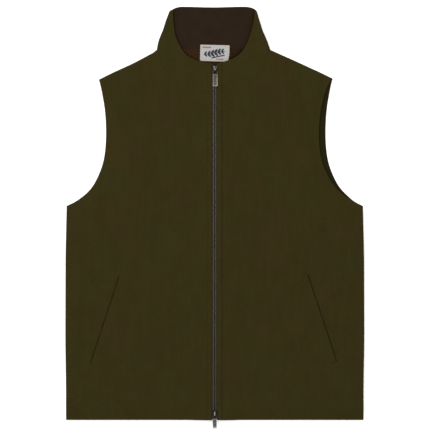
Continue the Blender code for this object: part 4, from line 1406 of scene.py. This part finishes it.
def boxInto(mesh, x0, x1, halfY, halfZ):
    corners = [
        mesh.verts.new((x * mm, y * mm, z * mm))
        for x in (x0, x1)
        for y in (-halfY, halfY)
        for z in (-halfZ, halfZ)
    ]
    for face in ((0, 1, 3, 2), (4, 6, 7, 5), (0, 4, 5, 1), (2, 3, 7, 6), (0, 2, 6, 4), (1, 5, 7, 3)):
        mesh.faces.new([corners[i] for i in face])


def toothPiece(look):
    mesh = bmesh.new()
    boxInto(mesh, look["legInner"], look["legOuter"], look["legHalf"], look["legHeight"])
    boxInto(mesh, look["headInner"], look["legInner"] + 0.3, look["headHalf"], look["headHeight"])
    bmesh.ops.bevel(mesh, geom=mesh.edges[:], offset=look["bevel"] * mm, segments=1, affect="EDGES")
    made = placed("tooth", plainMesh(mesh, "tooth"))
    brightX, brightZ = look["brightFrom"]
    masked(made, "wearAndLight", [p.co.x > brightX * mm and p.co.z > brightZ * mm for p in made.data.vertices])
    return made


tooth = toothPiece(teethLook)
teeth = repeated(
    "zipTeeth",
    [[(teethLook["place"][0], end, teethLook["place"][1]) for end in teethLook["ends"]]],
    tooth,
    teethLook["pitch"],
    metals["teeth"],
    turn=math.pi,
)
bpy.data.objects.remove(tooth)
dress(teeth, metals["teeth"], "gunmetal", "zip_chain")
print("teeth", len(teeth.data.polygons))


# Sewn lines: beside the zip, and round the label

stitchLook = {
    "zip": (2.9, 0.26, 3.5),  # length, half the thread and pitch
    "label": (1.5, 0.16, 2.0),
    "zipRuns": ((2.0, 611.0, 240), (615.5, 668.5, 24)),  # up the front and up the collar: start, end, points
    "zipLift": 0.02,
    "labelRun": ((-26.4, 703.6), (-26.4, 677.4), (-24.1, 675.1), (24.1, 675.1), (26.4, 677.4), (26.4, 703.6)),
    "labelLift": 0.12,
    "olive": (0.0215, 0.0175, 0.0055),
    "cream": (0.36, 0.34, 0.30),
}


def stitchPiece(length, thread):
    # a rounded thread that dips into the cloth at both ends
    mesh = bmesh.new()
    rings = []
    for t in np.linspace(0, 1, 7):
        size = thread * math.sin(math.pi * (0.1 + 0.8 * t)) ** 0.5
        lift = thread * (1.1 * math.sin(math.pi * t) - 0.5)
        y = (t - 0.5) * length
        ring = [Vector((size * across, y, lift + size * up)) for across, up in circle(6)]
        rings.append([mesh.verts.new(point * mm) for point in ring])
    joinRings(mesh, rings)
    plain = plainMesh(mesh, "stitch")
    plain.shade_smooth()
    return placed("stitch", plain)


def threadMaterial(name, colour):
    material, tree, shader, place = newMaterial(name, 0.85, 0.05)
    twist = noiseNode(tree, place, 0.35, 2.0, 0.5, stretch=(1.0, 2.0, 1.0))
    lighter = tuple(c * 1.6 for c in colour)
    twisted = mixNode(tree, rangeNode(tree, twist, 0.35, 0.65), colour, lighter)
    paint(tree, shader, twisted, bumpNode(tree, twist, 0.4, 0.08))
    return material


def onFront(side, x, ys):
    # the sewn line's points on a front and up the collar above it
    xs = np.full(len(ys), x)
    top, _, sink = frontHeights(xs, ys, side)
    onCloth = top + clothRelief(side, xs, ys) * (1 - sink)
    onCollar = collarCut["foldMiddle"] + collarCut["walls"]["collar"][0] + fronts["zipRise"]
    z = np.where(ys < bodyCut["neckFrontY"] - 1, onCloth, onCollar) + stitchLook["zipLift"]
    return laid(np.stack([xs if side == "left" else -xs, ys, z], axis=1))


def sewn(name, lines, look, material, slot, unevenness, seed):
    length, thread, pitch = look
    stitch = stitchPiece(length, thread)
    made = repeated(name, lines, stitch, pitch, material, unevenness=unevenness, seed=seed)
    bpy.data.objects.remove(stitch)
    return dress(made, material, slot)


oliveThread = threadMaterial("olive_thread", stitchLook["olive"])
creamThread = threadMaterial("cream_thread", stitchLook["cream"])
sewnY = np.concatenate([np.linspace(*run) for run in stitchLook["zipRuns"]])
zipLines = [onFront(side, fronts["sewnLine"], sewnY) for side in ("left", "right")]
sewn("zipStitches", zipLines, stitchLook["zip"], oliveThread, "outer_cloth", 0.05, 4)
labelTop = liningCut["high"] + gap + labelCut["wall"] + stitchLook["labelLift"]
labelLine = labelPlace([(x, y, labelTop) for x, y in stitchLook["labelRun"]])
sewn("labelStitches", [labelLine], stitchLook["label"], creamThread, "label_weave", 0.04, 6)
print("sewn lines made")


# Sliders and their pull tabs

sliderCut = {
    "middles": {"top": 658.0, "bottom": 9.5},
    "half": 7.2,
    "aside": {"top": 0.9, "bottom": -0.2},  # how far each sits from the middle of the zip
    "plan": (  # share of the half length towards the tab, share of the half width
        (-1.0, 0.62),
        (-0.97, 0.80),
        (-0.90, 0.94),
        (-0.78, 1.0),
        (-0.2, 0.985),
        (0.4, 0.96),
        (0.82, 0.93),
        (0.94, 0.86),
        (1.0, 0.70),
    ),
    "halfWidth": 4.5,
    "topPlate": (9.4, 10.6, 8.5),  # inner face, outer face, edge of the bent-down rim
    "underPlate": (6.4, 5.3, 7.2),
    "plateRim": ((0.5, 0.0), (0.18, 0.12), (0.0, 0.45)),  # in from the side, down from the outer face
    "plateDome": (0.12, 0.7),  # how far a plate's middle rises, and its ends droop
    "throatHalf": 3.3,
    "post": (2.5, 5.4, 0.8),
    "bailEnds": (-6.0, 6.3),
    "bailZ": (10.2, 12.9),
    "bailBend": (0.7, 1.1),  # along and down
    "bailWall": 0.8,
    "bailSplit": {"top": 1.5, "bottom": 0.3},  # how far the two arms part at the back
    "bailHighlight": {"top": {-1: 1.0, 1: 0.45}, "bottom": {-1: 0.8, 1: 1.0}},  # one arm carries a brighter painted highlight
    "bailHalf": 0.5,
    "pin": (-4.3, 11.8, 0.55),
}

pullCut = {
    "tabs": {  # half width, length, tilt in degrees, neck, far border
        "top": (4.5, 27.9, 3.0, 5.5, 1.4),
        "bottom": (3.8, 23.1, 16.0, 3.4, 3.8),
    },
    "halfWall": 0.9,
    "recess": 0.4,
    "border": (1.3, 1.6),  # sides, near end
    "corner": 0.6,
    "arms": (0.74, 0.98, 0.5),  # inner and outer side as shares of the tab's half width, half the wall
    "armTip": ((0.75, 0.2), (0.6, 0.42)),  # y and half the wall, at the rounded ends
    "armRows": (0.2, -2.0, -3.6),
}


def ringsInto(mesh, rings, wearAndLight):
    # joins rings of points into a closed shell, keeping how rubbed and how lit by painted highlight and shade
    # each ring is
    layer = mesh.verts.layers.float["wearAndLight"]
    made = []
    for ring, bare in zip(rings, wearAndLight):
        points = [mesh.verts.new(Vector(p)) for p in ring]
        for point, value in zip(points, np.broadcast_to(bare, len(points))):
            point[layer] = float(value)
        made.append(points)
    joinRings(mesh, made)


def hardPiece(name, shells, tilt=0.0, at=(0.0, 0.0, 0.0)):
    # several closed shells in one mesh, tilted about x and put in place
    mesh = bmesh.new()
    mesh.verts.layers.float.new("wearAndLight")
    for rings, wearAndLight in shells:
        ringsInto(mesh, rings, wearAndLight)
    turn = math.radians(tilt)
    for point in mesh.verts:
        x, y, z = point.co
        y, z = y * math.cos(turn) - z * math.sin(turn), y * math.sin(turn) + z * math.cos(turn)
        point.co = ((x + at[0]) * mm, (y + at[1] - middleY) * mm, (z + at[2]) * mm)
    plain = plainMesh(mesh, name)
    plain.shade_smooth()
    plain.set_sharp_from_angle(angle=math.radians(38))
    return placed(name, plain)


def sliderPlate(place, plate):
    # a domed plate with its sides bent towards the other plate
    inner, outer, rimZ = plate
    side = 1 if outer > inner else -1
    end = 1 if place == "top" else -1
    rise, droop = sliderCut["plateDome"]
    rings = []
    for share, width in sliderCut["plan"]:
        half = sliderCut["halfWidth"] * width
        y = sliderCut["middles"][place] - end * share * sliderCut["half"]
        face = outer - droop * side * (1 - width)
        throat = min(sliderCut["throatHalf"], half - 0.2)
        right = [(half - inset, face - drop * side) for inset, drop in sliderCut["plateRim"]]
        right += [(half, rimZ), (throat, rimZ), (throat, inner)]
        left = [(-x, z) for x, z in right[::-1]]
        section = [*left[3:], (0.0, face + rise * side), *right, *left[:3]]
        rings.append([(x, y, z) for x, z in section])
    # the plate's end by the tab is blackened as painted shade
    return rings, [0.0] * (len(rings) - 3) + [-0.9] * 3


def bailArm(place, sign):
    # one of the two arms of the bridge that carries the tab, parted at the back
    start, end = sliderCut["bailEnds"]
    foot, high = sliderCut["bailZ"]
    wall = sliderCut["bailWall"] / 2
    forward, down = sliderCut["bailBend"]
    turns = np.radians((0, 30, 60, 90))
    bend = [(forward * (1 - math.cos(t)), high - down + down * math.sin(t)) for t in turns]
    path = [(end - wall, foot), *((end - wall - back, z) for back, z in bend)]
    path += [(y, high) for y in np.linspace(end - 1.6, start + 1.2, 7)]
    path += [*((start + wall + back, z) for back, z in bend[-2::-1]), (start + wall, foot)]
    path = np.array(path)
    ahead = np.gradient(path, axis=0)
    ahead = ahead / np.linalg.norm(ahead, axis=1)[:, None]
    rings, wearAndLight = [], []
    for (y, z), (ay, az) in zip(path, ahead):
        parted = sliderCut["bailSplit"][place] * float(smoothStep((y + 1.5) / 4.5))
        middle = sign * (parted + 0.3)
        ring = []
        for sideways, outwards in circle(10):
            across = sliderCut["bailHalf"] * sideways
            off = wall * outwards
            ring.append((middle + across, sliderCut["middles"][place] + y + az * off, z - ay * off))
        rings.append(ring)
        # the arms' back ends are blackened as painted shade, their tops lit with painted highlight
        wearAndLight.append(-0.7 if y < -2.6 else sliderCut["bailHighlight"][place][sign] if z > high - 0.5 else 0.3)
    return rings, wearAndLight


def sliderBody(place):
    start, end, half = sliderCut["post"]
    up = 1 if place == "top" else -1
    middle = sliderCut["middles"][place]
    plan = [(-half, start), (half, start), (half, end), (-half, end)]
    post = [[(x, middle + up * y, z) for x, y in plan] for z in (5.8, 10.2)]
    plates = [sliderPlate(place, sliderCut[plate]) for plate in ("topPlate", "underPlate")]
    arms = [bailArm(place, sign) for sign in (-1, 1)]
    shells = [*plates, (post, [0.0, 0.0]), *arms]
    return hardPiece(f"zip_slider_{place}_body", shells, at=(sliderCut["aside"][place], 0.0, 0.0))


def roundedPlan(half, near, far, corner):
    # a rounded rectangle in plan from y = near out to y = far
    points = []
    for cornerX, cornerY, first in ((half, near, 90), (half, far, 0), (-half, far, -90), (-half, near, -180)):
        inX = cornerX - math.copysign(corner, cornerX)
        inY = near - corner if cornerY == near else far + corner
        for turn in np.radians(np.linspace(first, first - 90, 5)):
            points.append((inX + corner * math.cos(turn), inY + corner * math.sin(turn)))
    return points


def pullTab(place):
    half, length, tilt, neck, farEnd = pullCut["tabs"][place]
    side, nearEnd = pullCut["border"]
    wall, recess = pullCut["halfWall"], pullCut["recess"]
    near, far = -neck, -length
    steps = (  # in from the edge, height, how rubbed and lit with painted highlight
        (1.25, wall - recess, 0.0),
        (1.0, wall - recess + 0.06, 0.0),
        (0.9, wall - 0.12, 0.25),
        (0.78, wall, 0.3),
        (0.3, wall, 0.3),
        (0.09, wall - 0.09, 0.45),
        (0.0, wall - 0.3, 0.25),
    )
    rings, wearAndLight = [], []
    for inset, height, bare in steps + tuple((i, -h, b) for i, h, b in steps[::-1]):
        corner = max(0.35, pullCut["corner"] * (1 - 0.5 * inset))
        plan = roundedPlan(half - side * inset, near - nearEnd * inset, far + farEnd * inset, corner)
        rings.append([(x, y, height) for x, y in plan])
        # the far border is lit further with painted highlight
        wearAndLight.append([bare * (2.8 if y < far + farEnd + 0.2 else 1.0) for x, y in plan])
    innerShare, outerShare, thin = pullCut["arms"]
    inner, outer = innerShare * half, outerShare * half
    rows = [*pullCut["armTip"], *((y, thin) for y in (*pullCut["armRows"], near - 0.6))]
    shells = [(rings, wearAndLight)]
    for sign in (-1, 1):
        inX, outX = sign * inner, sign * outer
        arm = []
        for y, high in rows:
            under = [(inX, y, -high * 0.7), ((inX + outX) / 2, y, -high), (outX, y, -high * 0.7)]
            arm.append(under + [(x, y, -z) for x, y, z in under[::-1]])
        # the arms are a little darkened with painted shade
        shells.append((arm, [-0.2] * len(arm)))
    radius = sliderCut["pin"][2]
    pin = [[(x, radius * c, radius * s) for c, s in circle(14)] for x in (-outer, outer)]
    # the pin is blackened with painted shade
    shells.append((pin, [-0.6, -0.6]))
    back, height, _ = sliderCut["pin"]
    at = (sliderCut["aside"][place], sliderCut["middles"][place] + back, height)
    return hardPiece(f"zip_pull_{place}_tab", shells, tilt, at)


for place, body in (("top", "upper_pull"), ("bottom", "lower_pull")):
    dress(sliderBody(place), metals["slider"], "gunmetal", f"zip_slider_{place}")
    dress(pullTab(place), metals[f"{place}Pull"], "pull_metal", f"zip_pull_{place}", body=body)
print("sliders and pull tabs made")


# The zip's woven tapes, each with a corded edge beside the teeth

tapeCut = {
    "sides": (3.1, 14.5),
    "ends": (3.0, 668.0),
    "faces": (7.5, 8.2),  # heights of the under and the upper face
    "cord": (3.8, 0.55, 0.15),  # where it runs, its half width, how far it stands proud
    "edge": 0.2,
    "slack": 0.05,
    "columns": 24,
    "rows": 260,
}


def zipTape(side):
    inner, outer = tapeCut["sides"]
    start, end = tapeCut["ends"]
    low, high = tapeCut["faces"]
    middle, half, proud = tapeCut["cord"]
    edge = tapeCut["edge"]
    turns = np.linspace(0, math.pi, tapeCut["columns"])
    xs = (inner + outer) / 2 - (outer - inner) / 2 * np.cos(turns)
    ys = np.concatenate([[start, start + edge / 3], np.linspace(start + edge, end - edge, tapeCut["rows"])])
    x, y = np.meshgrid(xs, np.append(ys, [end - edge / 3, end]))
    fromEdge = np.minimum(np.minimum(x - inner, outer - x), np.minimum(y - start, end - y))
    rounding = edge * (1 - np.sqrt(1 - (1 - np.clip(fromEdge / edge, 0, 1)) ** 2))
    cord = proud * np.exp(-(((x - middle) / half) ** 2)) * np.clip(fromEdge / edge, 0, 1)
    slack = tapeCut["slack"] * waves(x, y, 45.0, 17 if side == "left" else 18)
    upper = np.stack([x, y, high - rounding + cord + slack], axis=2)
    lower = np.stack([x, y, low + rounding - cord + slack], axis=2)
    return wallBetween(f"zip_tape_{side}_weave", upper, lower, flipX=side == "right")


for side in ("left", "right"):
    made = dress(zipTape(side), tapeMaterial, "zip_tape", f"zip_tape_{side}")
print("zip tapes made")


# Floor, light and camera

stageLook = {
    "floor": (0.93, 0.93, 0.93),
    "floorGlow": 0.3,  # the light table under the gilet
    "floorHalf": 6.0,
    "floorLow": 0.0004,
    "worldStrength": 0.95,
    "keyPower": 28.5,
    "keyPlace": (-0.9, 0.7, 2.2),
    "keySize": 1.3,
    "photoWidth": 0.8084,
    "photoCentre": (0.0004, 0.0051),
    "cameraHeight": 3.2,
    "sensor": 36.0,
}

floorMesh = bpy.data.meshes.new("floor")
half = stageLook["floorHalf"]
corners = [(x * half, y * half, 0) for x, y in ((-1, -1), (1, -1), (1, 1), (-1, 1))]
floorMesh.from_pydata(corners, [], [(0, 1, 2, 3)])
floor = placed("floor", floorMesh)
floor.location.z = -stageLook["floorLow"]
floorMaterial, _, floorShader, _ = newMaterial("pale_floor", 0.9, 0.1)
floorShader.inputs["Base Color"].default_value = (*stageLook["floor"], 1)
floorShader.inputs["Emission Color"].default_value = (1, 1, 1, 1)
floorShader.inputs["Emission Strength"].default_value = stageLook["floorGlow"]
floor.data.materials.append(floorMaterial)

world = bpy.data.worlds.new("studio")
world.use_nodes = True
world.node_tree.nodes["Background"].inputs["Color"].default_value = (1, 1, 1, 1)
world.node_tree.nodes["Background"].inputs["Strength"].default_value = stageLook["worldStrength"]
bpy.context.scene.world = world

keyData = bpy.data.lights.new("key", "AREA")
keyData.shape = "SQUARE"
keyData.size = stageLook["keySize"]
keyData.energy = stageLook["keyPower"]
key = placed("key", keyData)
key.location = stageLook["keyPlace"]
key.rotation_euler = (-Vector(stageLook["keyPlace"])).to_track_quat("-Z", "Y").to_euler()

cameraData = bpy.data.cameras.new("camera")
cameraData.sensor_width = stageLook["sensor"]
cameraData.lens = stageLook["sensor"] * stageLook["cameraHeight"] / stageLook["photoWidth"]
camera = placed("camera", cameraData)
camera.location = (*stageLook["photoCentre"], stageLook["cameraHeight"] + 0.006)
bpy.context.scene.camera = camera
bpy.context.scene.view_settings.view_transform = "Standard"
print("floor, light and camera made")
